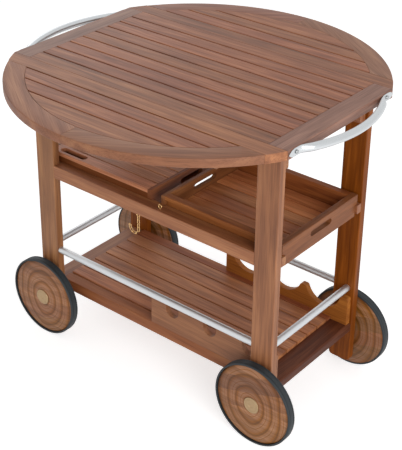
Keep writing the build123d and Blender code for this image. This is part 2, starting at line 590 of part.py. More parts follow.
# Floor of the left tray, its long walls, set in under the slatted top, and a skirt under each edge
deck_bottom = TRAY_TOP - DECK_THICKNESS
deck_edge_y = (DECK_SLATS * DECK_PITCH - DECK_GAP) / 2
with BuildPart() as left_tray_walls:
    for side, y_side in SIDES:
        deck_wall_y = y_side * (DECK_WALL_INNER_Y + TRAY_WALL_THICKNESS / 2)
        with Locations((-tray_middle_x, deck_wall_y, (LEFT_TRAY_BOTTOM + deck_bottom) / 2)):
            Box(wall_end_far - wall_end_near, TRAY_WALL_THICKNESS, deck_bottom - LEFT_TRAY_BOTTOM)
        skirt_y = y_side * (TRAY_HALF_WIDTH + deck_edge_y) / 2
        with Locations((-tray_middle_x, skirt_y, (DECK_SKIRT_BOTTOM + deck_bottom) / 2)):
            Box(wall_end_far - wall_end_near, deck_edge_y - TRAY_HALF_WIDTH, deck_bottom - DECK_SKIRT_BOTTOM)
    with Locations((-tray_middle_x, 0, LEFT_TRAY_BOTTOM + TRAY_FLOOR_THICKNESS / 2)):
        Box(wall_end_far - wall_end_near, 2 * (TRAY_HALF_WIDTH - EDGE_ROUND), TRAY_FLOOR_THICKNESS)
left_tray_walls.part.label = "left_tray_walls"
export_step(left_tray_walls.part, "parts/left_tray_walls.step")

# Slatted top of the left tray, with a finger slot through the front slat
slot_slat_y = -DECK_PITCH * (DECK_SLATS - 1) / 2
with BuildPart() as left_tray_deck:
    with Locations((-tray_middle_x, 0, TRAY_TOP - DECK_THICKNESS / 2)):
        with GridLocations(0, DECK_PITCH, 1, DECK_SLATS):
            Box(wall_end_far - wall_end_near, DECK_PITCH - DECK_GAP, DECK_THICKNESS)
    fillet(left_tray_deck.edges().filter_by(Axis.X).group_by(Axis.Z)[-1], EDGE_ROUND / 2)
    with BuildSketch(Plane.XY.offset(TRAY_TOP)):
        with Locations((FINGER_SLOT_X, slot_slat_y)):
            SlotOverall(FINGER_SLOT_LENGTH, FINGER_SLOT_WIDTH)
    extrude(amount=-DECK_THICKNESS, mode=Mode.SUBTRACT)
left_tray_deck.part.label = "left_tray_deck"
export_step(left_tray_deck.part, "parts/left_tray_deck.step")

# End rails of the bottom shelf, with a ledge for the slats
shelf_inner_x = SHELF_HALF_LENGTH - SHELF_RAIL_WIDTH
side_rail_inner_y = SHELF_SLAT_PITCH * SHELF_SLAT_COUNT / 2 + SLAT_GAP / 2
side_rail_width = LEG_INNER_Y - side_rail_inner_y
end_rail_x = SHELF_HALF_LENGTH - SHELF_RAIL_WIDTH / 2
ledge_x = shelf_inner_x - SHELF_LEDGE_WIDTH / 2
for end, x_side in ENDS:
    with BuildPart() as shelf_end:
        with Locations((x_side * end_rail_x, 0, (SHELF_BOTTOM + SHELF_RAIL_TOP) / 2)):
            Box(SHELF_RAIL_WIDTH, 2 * LEG_INNER_Y, SHELF_RAIL_TOP - SHELF_BOTTOM)
        top_edges = shelf_end.edges().filter_by(Axis.Y).group_by(Axis.Z)[-1].sort_by(Axis.X)
        fillet(top_edges[-1] if x_side > 0 else top_edges[0], SHELF_EDGE_ROUND)
        with Locations((x_side * ledge_x, 0, SHELF_BOTTOM + SHELF_LEDGE_HEIGHT / 2)):
            Box(SHELF_LEDGE_WIDTH, 2 * side_rail_inner_y, SHELF_LEDGE_HEIGHT)
    shelf_end.part.label = f"shelf_end_{end}"
    export_step(shelf_end.part, f"parts/shelf_end_{end}.step")

# Side rails of the bottom shelf
with BuildPart() as shelf_side_rails:
    for side, y_side in SIDES:
        side_rail_y = y_side * (side_rail_inner_y + side_rail_width / 2)
        with Locations((0, side_rail_y, (SHELF_BOTTOM + SHELF_SIDE_TOP) / 2)):
            Box(2 * (shelf_inner_x - JOINT_LINE), side_rail_width, SHELF_SIDE_TOP - SHELF_BOTTOM)
    fillet(shelf_side_rails.edges().filter_by(Axis.X).group_by(Axis.Z)[-1], EDGE_ROUND)
shelf_side_rails.part.label = "shelf_side_rails"
export_step(shelf_side_rails.part, "parts/shelf_side_rails.step")

# Slats of the bottom shelf
with BuildPart() as shelf_slats:
    with Locations((0, 0, SHELF_TOP - SHELF_SLAT_THICKNESS / 2)):
        with GridLocations(0, SHELF_SLAT_PITCH, 1, SHELF_SLAT_COUNT):
            Box(2 * (shelf_inner_x - JOINT_LINE), SHELF_SLAT_PITCH - SLAT_GAP, SHELF_SLAT_THICKNESS)
    fillet(shelf_slats.edges().filter_by(Axis.X).group_by(Axis.Z)[-1], EDGE_ROUND)
shelf_slats.part.label = "shelf_slats"
export_step(shelf_slats.part, "parts/shelf_slats.step")

# Front board with round-bottomed notches for bottle necks
with BuildPart() as board_front:
    with BuildSketch(Plane.XZ.offset(LEG_INNER_Y)):
        with Locations(((FRONT_BOARD_LEFT + BOARD_RIGHT) / 2, (SHELF_SIDE_TOP + BOARD_TOP) / 2)):
            Rectangle(BOARD_RIGHT - FRONT_BOARD_LEFT, BOARD_TOP - SHELF_SIDE_TOP)
        with Locations(((shelf_inner_x + BOARD_RIGHT) / 2, (SHELF_RAIL_TOP + SHELF_SIDE_TOP) / 2)):
            Rectangle(BOARD_RIGHT - shelf_inner_x, SHELF_SIDE_TOP - SHELF_RAIL_TOP)
        with Locations(*[(x, NECK_Z) for x in BOTTLE_X]):
            Circle(NECK_RADIUS, mode=Mode.SUBTRACT)
        with Locations(*[(x, (NECK_Z + BOARD_TOP) / 2) for x in BOTTLE_X]):
            Rectangle(2 * NECK_RADIUS, BOARD_TOP - NECK_Z, mode=Mode.SUBTRACT)
    extrude(amount=-BOARD_THICKNESS)
    across = board_front.edges().filter_by(Axis.Y)
    fillet(across.filter_by(lambda edge: edge.center().Z > BOARD_TOP - CUT_MARGIN), BOARD_CORNER / 2)
board_front.part.label = "bottle_board_front"
export_step(board_front.part, "parts/bottle_board_front.step")

# Back board with wide scallops for bottle bodies
with BuildPart() as board_back:
    with BuildSketch(Plane.XZ.offset(-LEG_INNER_Y)):
        with Locations(((BACK_BOARD_LEFT + BOARD_RIGHT) / 2, (SHELF_SIDE_TOP + BOARD_TOP) / 2)):
            Rectangle(BOARD_RIGHT - BACK_BOARD_LEFT, BOARD_TOP - SHELF_SIDE_TOP)
        with Locations(((shelf_inner_x + BOARD_RIGHT) / 2, (SHELF_RAIL_TOP + SHELF_SIDE_TOP) / 2)):
            Rectangle(BOARD_RIGHT - shelf_inner_x, SHELF_SIDE_TOP - SHELF_RAIL_TOP)
        with Locations(*[(x, SCALLOP_Z) for x in BOTTLE_X]):
            Circle(SCALLOP_RADIUS, mode=Mode.SUBTRACT)
        with Locations((BOTTLE_X[1], (SCALLOP_RIDGE_Z + BOARD_TOP) / 2)):
            Rectangle(BOTTLE_X[2] - BOTTLE_X[0], BOARD_TOP - SCALLOP_RIDGE_Z, mode=Mode.SUBTRACT)
    extrude(amount=BOARD_THICKNESS)
    across = board_back.edges().filter_by(Axis.Y)
    fillet(across.filter_by(lambda edge: edge.center().Z > SCALLOP_RIDGE_Z - CUT_MARGIN), BOARD_CORNER)
board_back.part.label = "bottle_board_back"
export_step(board_back.part, "parts/bottle_board_back.step")

# Guard bars between the legs above the shelf
with BuildPart() as guard_bars:
    for side, y_side in SIDES:
        with BuildSketch(Plane.YZ):
            with Locations((y_side * RAIL_MIDDLE_Y, BAR_Z)):
                Circle(BAR_RADIUS)
        extrude(amount=LEG_INNER_X + LONG_BAR_DEPTH, both=True)
    for end, x_side in ENDS:
        with BuildSketch(Plane.XZ):
            with Locations((x_side * SIDE_BAR_X, BAR_Z)):
                Circle(BAR_RADIUS)
        extrude(amount=LEG_INNER_Y + SIDE_BAR_DEPTH, both=True)
guard_bars.part.label = "guard_bars"
export_step(guard_bars.part, "parts/guard_bars.step")

# Axle bolts with spacer collars, one to each leg
with BuildPart() as axles:
    for end, x_side in ENDS:
        for side, y_side in SIDES:
            outwards = (0, y_side, 0)
            head_y = y_side * (LEG_INNER_Y - AXLE_HEAD_LENGTH)
            head_plane = Plane(origin=(x_side * WHEEL_X, head_y, AXLE_Z), z_dir=outwards)
            collar_plane = Plane(origin=(x_side * WHEEL_X, y_side * LEG_OUTER_Y, AXLE_Z), z_dir=outwards)
            with BuildSketch(head_plane):
                Circle(AXLE_HEAD_RADIUS)
            extrude(amount=AXLE_HEAD_LENGTH)
            with BuildSketch(head_plane):
                Circle(AXLE_RADIUS)
            extrude(amount=WHEEL_INNER_Y + AXLE_END - LEG_INNER_Y + AXLE_HEAD_LENGTH)
            with BuildSketch(collar_plane):
                Circle(SPACER_RADIUS)
            extrude(amount=WHEEL_INNER_Y - LEG_OUTER_Y - FACE_CLEARANCE)
axles.part.label = "axles"
export_step(axles.part, "parts/axles.step")

# Wheels: a domed wooden disc, a rubber tyre and a brass hub cap
disc_radius = WHEEL_RADIUS - TYRE_THICKNESS
hub_face = WHEEL_WIDTH + HUB_CAP_HEIGHT
for end, x_side in ENDS:
    for side, y_side in SIDES:
        wheel_axis = Axis((x_side * WHEEL_X, 0, AXLE_Z), (0, 1, 0))
        wheel_plane = Plane(
            origin=(x_side * WHEEL_X, y_side * WHEEL_INNER_Y, AXLE_Z), x_dir=(1, 0, 0), z_dir=(0, 0, y_side)
        )
        with BuildPart() as wheel_disc:
            with BuildSketch(wheel_plane):
                with BuildLine():
                    Polyline(
                        (disc_radius - DISC_FACE_MARGIN, WHEEL_WIDTH - DISC_SHOULDER_DROP),
                        (disc_radius, WHEEL_WIDTH - DISC_RIM_DROP),
                        (disc_radius, DISC_CHAMFER),
                        (disc_radius - DISC_CHAMFER, 0),
                        (AXLE_RADIUS + RUNNING_CLEARANCE, 0),
                        (AXLE_RADIUS + RUNNING_CLEARANCE, WHEEL_WIDTH),
                        (HUB_CAP_RADIUS + DISC_FACE_MARGIN, WHEEL_WIDTH),
                    )
                    ThreePointArc(
                        (HUB_CAP_RADIUS + DISC_FACE_MARGIN, WHEEL_WIDTH),
                        ((HUB_CAP_RADIUS + disc_radius) / 2, WHEEL_WIDTH - DISC_FACE_SAG),
                        (disc_radius - DISC_FACE_MARGIN, WHEEL_WIDTH - DISC_SHOULDER_DROP),
                    )
                make_face()
            revolve(axis=wheel_axis)
        wheel_disc.part.label = f"wheel_disc_{side}_{end}"
        export_step(wheel_disc.part, f"parts/wheel_disc_{side}_{end}.step")

        with BuildPart() as tyre:
            with BuildSketch(wheel_plane):
                with Locations((WHEEL_RADIUS - TYRE_THICKNESS / 2, WHEEL_WIDTH / 2)):
                    Rectangle(TYRE_THICKNESS, WHEEL_WIDTH)
            revolve(axis=wheel_axis)
            tread_edges = tyre.edges().filter_by(GeomType.CIRCLE).group_by(SortBy.RADIUS)[-1]
            fillet(tread_edges, TYRE_SHOULDER)
        tyre.part.label = f"tyre_{side}_{end}"
        export_step(tyre.part, f"parts/tyre_{side}_{end}.step")

        with BuildPart() as hub_cap:
            with BuildSketch(wheel_plane):
                with BuildLine():
                    Polyline(
                        (0, WHEEL_WIDTH),
                        (HUB_CAP_RADIUS, WHEEL_WIDTH),
                        (HUB_CAP_RADIUS, WHEEL_WIDTH + HUB_CAP_RIM),
                    )
                    ThreePointArc(
                        (HUB_CAP_RADIUS, WHEEL_WIDTH + HUB_CAP_RIM),
                        (HUB_CAP_RADIUS - HUB_CAP_BULGE[0], hub_face - HUB_CAP_BULGE[1]),
                        (HUB_CAP_RADIUS - HUB_CAP_SHOULDER, hub_face),
                    )
                    Polyline(
                        (HUB_CAP_RADIUS - HUB_CAP_SHOULDER, hub_face),
                        (HUB_RECESS_RADIUS, hub_face),
                        (HUB_RECESS_RADIUS - HUB_RECESS_DEPTH, hub_face - HUB_RECESS_DEPTH),
                        (0, hub_face - HUB_RECESS_DEPTH),
                        (0, WHEEL_WIDTH),
                    )
                make_face()
            revolve(axis=wheel_axis)
        hub_cap.part.label = f"hub_cap_{side}_{end}"
        export_step(hub_cap.part, f"parts/hub_cap_{side}_{end}.step")

# Screw eyes on the front rail
with BuildPart() as screw_eyes:
    for eye_x, rail_z, up in ((TOP_EYE_X, MID_RAIL_TOP, 1), (CHAIN_EYE_X, MID_RAIL_BOTTOM, -1)):
        ring_z = rail_z + up * EYE_STAND_OFF
        with BuildSketch(Plane.XY.offset(rail_z)):
            with Locations((eye_x, -RAIL_MIDDLE_Y)):
                Circle(EYE_SHANK_RADIUS)
        extrude(amount=-up * EYE_SHANK_DEPTH)
        with BuildSketch(Plane.XY.offset(rail_z)):
            with Locations((eye_x, -RAIL_MIDDLE_Y)):
                Circle(EYE_SHANK_RADIUS)
        extrude(amount=up * (EYE_STAND_OFF - EYE_RING_RADIUS))
        ring_plane = Plane(origin=(eye_x, -RAIL_MIDDLE_Y, ring_z), z_dir=(0, 1, 0))
        with Locations(ring_plane):
            Torus(EYE_RING_RADIUS, EYE_WIRE_RADIUS)
screw_eyes.part.label = "screw_eyes"
export_step(screw_eyes.part, "parts/screw_eyes.step")

# Chain of links that hangs from the lower screw eye and curls at its end
link_reach = LINK_HALF_STRAIGHT + LINK_BEND_RADIUS
link_corners = [
    (-LINK_HALF_STRAIGHT, LINK_BEND_RADIUS),
    (LINK_HALF_STRAIGHT, LINK_BEND_RADIUS),
    (LINK_HALF_STRAIGHT, -LINK_BEND_RADIUS),
    (-LINK_HALF_STRAIGHT, -LINK_BEND_RADIUS),
]
link_frames = []
wire = Vector(CHAIN_EYE_X, -RAIL_MIDDLE_Y, MID_RAIL_BOTTOM - EYE_STAND_OFF - EYE_RING_RADIUS)
lift = EYE_WIRE_RADIUS + LINK_WIRE_RADIUS + LINK_CLEARANCE
down_before = Vector(0, 0, -1)
for index, turn in enumerate(CHAIN_TURNS):
    down = Vector(-sin(radians(turn)), 0, -cos(radians(turn)))
    crosswise = index % 2 == 0
    centre = wire - (down_before if crosswise else down) * lift + down * link_reach
    link_normal = down.cross(Vector(0, 1, 0)) if crosswise else Vector(0, 1, 0)
    link_frames.append(Plane(origin=centre, x_dir=down, z_dir=link_normal))
    wire = centre + down * link_reach
    lift = 2 * LINK_WIRE_RADIUS + LINK_CLEARANCE
    down_before = down
with BuildPart() as chain:
    for frame in link_frames:
        with BuildLine(frame) as link_path:
            Line(link_corners[0], link_corners[1])
            ThreePointArc(link_corners[1], (link_reach, 0), link_corners[2])
            Line(link_corners[2], link_corners[3])
            ThreePointArc(link_corners[3], (-link_reach, 0), link_corners[0])
        with BuildSketch(link_path.line ^ 0):
            Circle(LINK_WIRE_RADIUS)
        sweep(path=link_path.line)
chain.part.label = "chain"
export_step(chain.part, "parts/chain.step")
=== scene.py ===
"""Outdoor bar cart: finishes, finely shaped pieces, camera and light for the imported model."""

import logging
import math
from collections.abc import Callable
from dataclasses import dataclass, field, replace
from enum import Enum

import bpy
from mathutils import Matrix, Vector

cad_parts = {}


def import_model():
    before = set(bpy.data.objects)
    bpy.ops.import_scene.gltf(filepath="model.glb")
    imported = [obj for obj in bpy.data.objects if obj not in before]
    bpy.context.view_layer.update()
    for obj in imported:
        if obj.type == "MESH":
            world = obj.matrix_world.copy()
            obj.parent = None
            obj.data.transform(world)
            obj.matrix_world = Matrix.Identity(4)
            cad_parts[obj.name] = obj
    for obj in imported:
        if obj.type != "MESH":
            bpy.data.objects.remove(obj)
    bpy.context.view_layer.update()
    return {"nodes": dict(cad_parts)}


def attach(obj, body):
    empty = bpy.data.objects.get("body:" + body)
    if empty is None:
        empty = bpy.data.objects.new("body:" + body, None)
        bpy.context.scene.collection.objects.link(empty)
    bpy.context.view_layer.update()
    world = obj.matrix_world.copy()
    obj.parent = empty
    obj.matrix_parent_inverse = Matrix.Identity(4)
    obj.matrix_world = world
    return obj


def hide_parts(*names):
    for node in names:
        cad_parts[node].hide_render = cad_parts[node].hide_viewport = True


LOG = logging.getLogger("bar_cart")
MM = 0.001
MERGE_MM = 0.001

Nodes = dict[str, bpy.types.Object]
Place = tuple[float, float, float]
Span = tuple[float, float]
Outline = tuple[tuple[float, float], ...]

# A width of boards and where they start: one board over everything, or one on each side of the middle
UNCUT: Span = (4000.0, 2000.0)
HALVED: Span = (1000.0, 0.0)
SIDES = (("front", 1.0), ("back", -1.0))
ENDS = (("right", 1.0), ("left", -1.0))


class Grain(Enum):
    """The axis of the object that the fibres of a piece of wood run along."""

    LENGTH = 0
    DEPTH = 1
    HEIGHT = 2


def linear(hex_colour: str) -> tuple[float, float, float, float]:
    """Turn an sRGB hex colour into linear light.

    Args:
        hex_colour: A colour such as "#8e6959".

    Returns:
        Linear red, green, blue and an alpha of 1.
    """
    channels = [int(hex_colour[i : i + 2], 16) / 255 for i in (1, 3, 5)]
    light = [c / 12.92 if c <= 0.04045 else ((c + 0.055) / 1.055) ** 2.4 for c in channels]
    return (*light, 1.0)


def add_node(
    tree: bpy.types.NodeTree, kind: str, inputs: dict[str | int, object] | None = None, **settings: object
) -> bpy.types.Node:
    """Add one node to a tree, with its settings, values and links.

    Args:
        tree: The node tree.
        kind: The node's type, such as "ShaderNodeTexNoise".
        inputs: Values by socket name or index; an output socket is linked.
        settings: Properties of the node itself.

    Returns:
        The new node.
    """
    node = tree.nodes.new(kind)
    for name, value in settings.items():
        setattr(node, name, value)
    for key, value in (inputs or {}).items():
        if isinstance(value, bpy.types.NodeSocket):
            tree.links.new(value, node.inputs[key])
        else:
            node.inputs[key].default_value = value
    return node


def new_material(name: str) -> tuple[bpy.types.Material, bpy.types.NodeTree]:
    """Make an empty node material.

    Args:
        name: The material's name.

    Returns:
        The material and its cleared node tree.
    """
    material = bpy.data.materials.new(name)
    material.use_nodes = True
    material.node_tree.nodes.clear()
    return material, material.node_tree


def set_ramp(node: bpy.types.Node, stops: list[tuple[float, str]]) -> None:
    """Give a colour ramp its stops.

    Args:
        node: The ColorRamp node.
        stops: Positions and sRGB hex colours.
    """
    ramp = node.color_ramp
    while len(ramp.elements) > 1:
        ramp.elements.remove(ramp.elements[0])
    ramp.elements[0].position = stops[0][0]
    ramp.elements[0].color = linear(stops[0][1])
    for position, colour in stops[1:]:
        ramp.elements.new(position).color = linear(colour)


@dataclass(frozen=True)
class OiledHardwood:
    """Planed tropical hardwood with an outdoor oil, which leaves a satin, warm brown face.

    The tones are those of its dark, middle and light fibres. A cut is the width of the boards across an
    axis and the place where they start, so that each board has a tone and a figure of its own.
    """

    name: str
    tones: tuple[str, str, str] = ("#754529", "#94613f", "#ad7a53")
    grain: Grain = Grain.LENGTH
    cut_x_mm: Span = UNCUT
    cut_y_mm: Span = UNCUT
    cut_z_mm: Span = UNCUT
    board_tilt_deg: float = 0.0
    figure_mm: float = 16.0
    # Real fibres and pores are about 0.2 mm wide, too fine to show from a step away, so they are coarser
    fibre_mm: float = 1.6
    fibre_share: float = 0.3
    stretch: float = 14.0
    fibre_stretch: float = 4.0
    tone_stops: Place = (0.28, 0.5, 0.72)
    tone_spread: float = 0.24
    hue_spread: float = 0.012
    pore_stops: Span = (0.28, 0.40)
    pore_shade: float = 0.72
    seed: float = 0.0
    lot_shift: Span = (0.37, 0.73)
    board_shift_mm: float = 900.0
    mirrored: bool = False
    turn_deg: float = 0.0
    ring_centre_mm: Place | None = None
    ring_oval: Place = (1.15, 0.0, 0.9)
    ring_mm: float = 30.0
    ring_bend_mm: float = 75.0
    ring_waver: float = 0.6
    ring_board_shift: float = 0.12
    ring_richness: float = 1.3
    gloss: float = 0.5
    ior: float = 1.48
    roughness: Span = (0.58, 0.42)
    bump: float = 0.35
    bump_mm: float = 0.4

    def build(self) -> bpy.types.Material:
        """Make the wood: boards that differ in tone, long figure, fine fibres and open pores.

        Returns:
            The material.
        """
        material, tree = new_material(self.name)
        place = add_node(tree, "ShaderNodeTexCoord").outputs["Object"]
        in_mm = add_node(
            tree, "ShaderNodeVectorMath", {0: place, "Scale": 1 / MM}, operation="SCALE"
        ).outputs[0]
        chance = self._chance(tree, in_mm)
        if self.mirrored:
            in_mm = add_node(tree, "ShaderNodeVectorMath", {0: in_mm}, operation="ABSOLUTE").outputs[0]
        figure, fibre = self._figure(tree, in_mm, chance)
        mixed = add_node(
            tree, "ShaderNodeMix", {"Factor": self.fibre_share, "A": figure, "B": fibre}, data_type="FLOAT"
        ).outputs["Result"]
        colour = self._colour(tree, in_mm, chance, mixed, fibre)
        reach = {"Value": fibre, "To Min": self.roughness[0], "To Max": self.roughness[1]}
        rough = add_node(tree, "ShaderNodeMapRange", reach).outputs["Result"]
        bump = add_node(
            tree, "ShaderNodeBump", {"Height": mixed, "Strength": self.bump, "Distance": self.bump_mm * MM}
        ).outputs["Normal"]
        looks = {"Base Color": colour, "Roughness": rough, "Normal": bump}
        oil = {"IOR": self.ior, "Specular IOR Level": self.gloss}
        shader = add_node(tree, "ShaderNodeBsdfPrincipled", looks | oil)
        add_node(tree, "ShaderNodeOutputMaterial", {"Surface": shader.outputs[0]})
        return material

    def _chance(self, tree: bpy.types.NodeTree, in_mm: bpy.types.NodeSocket) -> bpy.types.Node:
        """Draw lots for each board.

        Args:
            tree: The material's node tree.
            in_mm: The place on the piece in millimetres.

        Returns:
            A node whose value and colour are constant over a board.
        """
        cuts = (self.cut_x_mm, self.cut_y_mm, self.cut_z_mm)
        per_board = [1 / width for width, _ in cuts]
        start = [begin * share for (_, begin), share in zip(cuts, per_board)]
        tilt = (0, math.radians(self.board_tilt_deg), 0)
        laid = add_node(tree, "ShaderNodeMapping", {"Vector": in_mm, "Rotation": tilt}).outputs[0]
        cell = add_node(
            tree, "ShaderNodeVectorMath", {0: laid, 1: per_board, 2: start}, operation="MULTIPLY_ADD"
        ).outputs[0]
        board = add_node(tree, "ShaderNodeVectorMath", {0: cell}, operation="FLOOR").outputs[0]
        own = (self.seed, *self.lot_shift)
        board = add_node(tree, "ShaderNodeVectorMath", {0: board, 1: own}, operation="ADD").outputs[0]
        return add_node(tree, "ShaderNodeTexWhiteNoise", {"Vector": board}, noise_dimensions="3D")

    def _figure(
        self, tree: bpy.types.NodeTree, in_mm: bpy.types.NodeSocket, chance: bpy.types.Node
    ) -> tuple[bpy.types.NodeSocket, bpy.types.NodeSocket]:
        """Draw the wood's figure and fibres, both stretched along the grain and different on each board.

        Args:
            tree: The material's node tree.
            in_mm: The place on the piece in millimetres.
            chance: The node that draws lots for each board.

        Returns:
            The figure and the fibres, each from 0 to 1.
        """
        apart = {0: chance.outputs["Color"], "Scale": self.board_shift_mm}
        shift = add_node(tree, "ShaderNodeVectorMath", apart, operation="SCALE").outputs[0]
        turn = (0, 0, math.radians(self.turn_deg))
        turned = add_node(tree, "ShaderNodeMapping", {"Vector": in_mm, "Rotation": turn}).outputs[0]
        drawn = []
        for size_mm, stretch, noise in (
            (self.figure_mm, self.stretch, {"Detail": 3.0, "Roughness": 0.55, "Distortion": 0.5}),
            (self.fibre_mm, self.fibre_stretch * self.stretch, {"Detail": 2.0, "Roughness": 0.6}),
        ):
            squeeze = [1.0, 1.0, 1.0]
            squeeze[self.grain.value] = 1 / stretch
            along = add_node(
                tree, "ShaderNodeVectorMath", {0: turned, 1: squeeze, 2: shift}, operation="MULTIPLY_ADD"
            ).outputs[0]
            pattern = add_node(tree, "ShaderNodeTexNoise", {"Vector": along, "Scale": 1 / size_mm} | noise)
            drawn.append(pattern.outputs["Fac"])
        return drawn[0], drawn[1]

    def _colour(
        self,
        tree: bpy.types.NodeTree,
        in_mm: bpy.types.NodeSocket,
        chance: bpy.types.Node,
        mixed: bpy.types.NodeSocket,
        fibre: bpy.types.NodeSocket,
    ) -> bpy.types.NodeSocket:
        """Colour the wood: its tones by the figure, darker in pores and rings, and its own on each board.

        Args:
            tree: The material's node tree.
            in_mm: The place on the piece in millimetres.
            chance: The node that draws lots for each board.
            mixed: The figure with its fibres.
            fibre: The fibres alone.

        Returns:
            The colour.
        """
        ramp = add_node(tree, "ShaderNodeValToRGB", {"Fac": mixed})
        set_ramp(ramp, list(zip(self.tone_stops, self.tones)))
        pore_from, pore_to = self.pore_stops
        pore = {"Value": fibre, "From Min": pore_from, "From Max": pore_to, "To Min": self.pore_shade}
        pores = add_node(tree, "ShaderNodeMapRange", pore).outputs["Result"]
        drawn = {}
        for kind, source, middle, spread in (
            ("tone", chance.outputs["Value"], 1.0, self.tone_spread),
            ("hue", chance.outputs["Color"], 0.5, self.hue_spread),
        ):
            reach = {"To Min": middle - spread / 2, "To Max": middle + spread / 2}
            drawn[kind] = add_node(tree, "ShaderNodeMapRange", {"Value": source} | reach).outputs["Result"]
        shades = {0: drawn["tone"], 1: pores}
        value = add_node(tree, "ShaderNodeMath", shades, operation="MULTIPLY").outputs[0]
        rich = 1.0
        if self.ring_centre_mm is not None:
            rings = self._rings(tree, in_mm, chance.outputs["Value"])
            value = add_node(tree, "ShaderNodeMath", {0: value, 1: rings}, operation="MULTIPLY").outputs[0]
            richer = {0: rings, 1: -self.ring_richness, 2: 1 + self.ring_richness}
            rich = add_node(tree, "ShaderNodeMath", richer, operation="MULTIPLY_ADD").outputs[0]
        look = {"Hue": drawn["hue"], "Saturation": rich, "Value": value, "Color": ramp.outputs["Color"]}
        return add_node(tree, "ShaderNodeHueSaturation", look).outputs["Color"]

    def _rings(
        self, tree: bpy.types.NodeTree, in_mm: bpy.types.NodeSocket, chance: bpy.types.NodeSocket
    ) -> bpy.types.NodeSocket:
        """Lay oval growth rings round a centre, as on a flat-sawn disc.

        Args:
            tree: The material's node tree.
            in_mm: The place on the piece in millimetres.
            chance: A number for each board, which shifts its rings against the next board's.

        Returns:
            The brightness of the wood: below 1 in the dark late wood of each ring.
        """
        centred = add_node(
            tree, "ShaderNodeVectorMath", {0: in_mm, 1: self.ring_centre_mm}, operation="SUBTRACT"
        ).outputs[0]
        oval = add_node(
            tree, "ShaderNodeVectorMath", {0: centred, 1: self.ring_oval}, operation="MULTIPLY"
        ).outputs[0]
        broad = {"Vector": oval, "Scale": 1 / self.ring_bend_mm, "Detail": 1.0, "Roughness": 0.3}
        bend = add_node(tree, "ShaderNodeTexNoise", broad).outputs["Fac"]
        shift = add_node(
            tree, "ShaderNodeMath", {0: chance, 1: self.ring_board_shift}, operation="MULTIPLY"
        ).outputs[0]
        bend = add_node(
            tree, "ShaderNodeMath", {0: bend, 1: self.ring_waver, 2: shift}, operation="MULTIPLY_ADD"
        ).outputs[0]
        radius = add_node(tree, "ShaderNodeVectorMath", {0: oval}, operation="LENGTH").outputs["Value"]
        turns = add_node(
            tree, "ShaderNodeMath", {0: radius, 1: 1 / self.ring_mm, 2: bend}, operation="MULTIPLY_ADD"
        ).outputs[0]
        saw = add_node(tree, "ShaderNodeMath", {0: turns}, operation="FRACT").outputs[0]
        line = add_node(tree, "ShaderNodeValToRGB", {"Fac": saw})
        late = [(0.0, "#b4b4b4"), (0.05, "#bcbcbc"), (0.13, "#f2f2f2"), (0.36, "#ffffff"), (0.42, "#dedede")]
        early = [(0.48, "#fcfcfc"), (0.7, "#f4f4f4"), (0.9, "#e0e0e0"), (0.97, "#bcbcbc"), (1.0, "#b4b4b4")]
        set_ramp(line, late + early)
        return add_node(tree, "ShaderNodeRGBToBW", {"Color": line.outputs["Color"]}).outputs[0]


@dataclass(frozen=True)
class Metal:
    """A bare metal with a soft, fine surface left by brushing, plating or polishing."""

    name: str
    colour: str
    roughness: float
    # The marks of a fine brush are too fine to show, so the unevenness is drawn some millimetres wide
    mottle_mm: float = 3.0
    uneven: float = 0.08
    bump: float = 0.1
    bump_mm: float = 0.1

    def build(self) -> bpy.types.Material:
        """Make the metal: one colour, with slightly uneven gloss.

        Returns:
            The material.
        """
        material, tree = new_material(self.name)
        place = add_node(tree, "ShaderNodeTexCoord").outputs["Object"]
        mottle = {"Vector": place, "Scale": 1 / (self.mottle_mm * MM), "Detail": 3.0}
        noise = add_node(tree, "ShaderNodeTexNoise", mottle).outputs["Fac"]
        reach = {"To Min": self.roughness - self.uneven, "To Max": self.roughness + self.uneven}
        rough = add_node(tree, "ShaderNodeMapRange", {"Value": noise} | reach).outputs["Result"]
        bump = add_node(
            tree, "ShaderNodeBump", {"Height": noise, "Strength": self.bump, "Distance": self.bump_mm * MM}
        ).outputs["Normal"]
        looks = {"Base Color": linear(self.colour), "Metallic": 1.0, "Roughness": rough, "Normal": bump}
        shader = add_node(tree, "ShaderNodeBsdfPrincipled", looks)
        add_node(tree, "ShaderNodeOutputMaterial", {"Surface": shader.outputs[0]})
        return material


@dataclass(frozen=True)
class MouldedRubber:
    """Matt slate rubber, moulded, with a slight bloom of dust on its tread."""

    name: str
    colour: str = "#13171a"
    dusty: str = "#232b30"
    roughness: float = 0.62
    dust_mm: float = 25.0
    # The skin that the mould leaves is finer than this, but it wouldn't show
    skin_mm: float = 0.8
    bump: float = 0.2
    bump_mm: float = 0.1

    def build(self) -> bpy.types.Material:
        """Make the rubber: a dark body with pale, uneven dust and a fine skin.

        Returns:
            The material.
        """
        material, tree = new_material(self.name)
        place = add_node(tree, "ShaderNodeTexCoord").outputs["Object"]
        patches = {"Vector": place, "Scale": 1 / (self.dust_mm * MM), "Detail": 4.0}
        dust = add_node(tree, "ShaderNodeTexNoise", patches).outputs["Fac"]
        blend = {"Factor": dust, "A": linear(self.colour), "B": linear(self.dusty)}
        colour = add_node(tree, "ShaderNodeMix", blend, data_type="RGBA").outputs["Result"]
        fine = {"Vector": place, "Scale": 1 / (self.skin_mm * MM), "Detail": 1.0}
        skin = add_node(tree, "ShaderNodeTexNoise", fine).outputs["Fac"]
        bump = add_node(
            tree, "ShaderNodeBump", {"Height": skin, "Strength": self.bump, "Distance": self.bump_mm * MM}
        ).outputs["Normal"]
        looks = {"Base Color": colour, "Roughness": self.roughness, "Normal": bump}
        shader = add_node(tree, "ShaderNodeBsdfPrincipled", looks)
        add_node(tree, "ShaderNodeOutputMaterial", {"Surface": shader.outputs[0]})
        return material


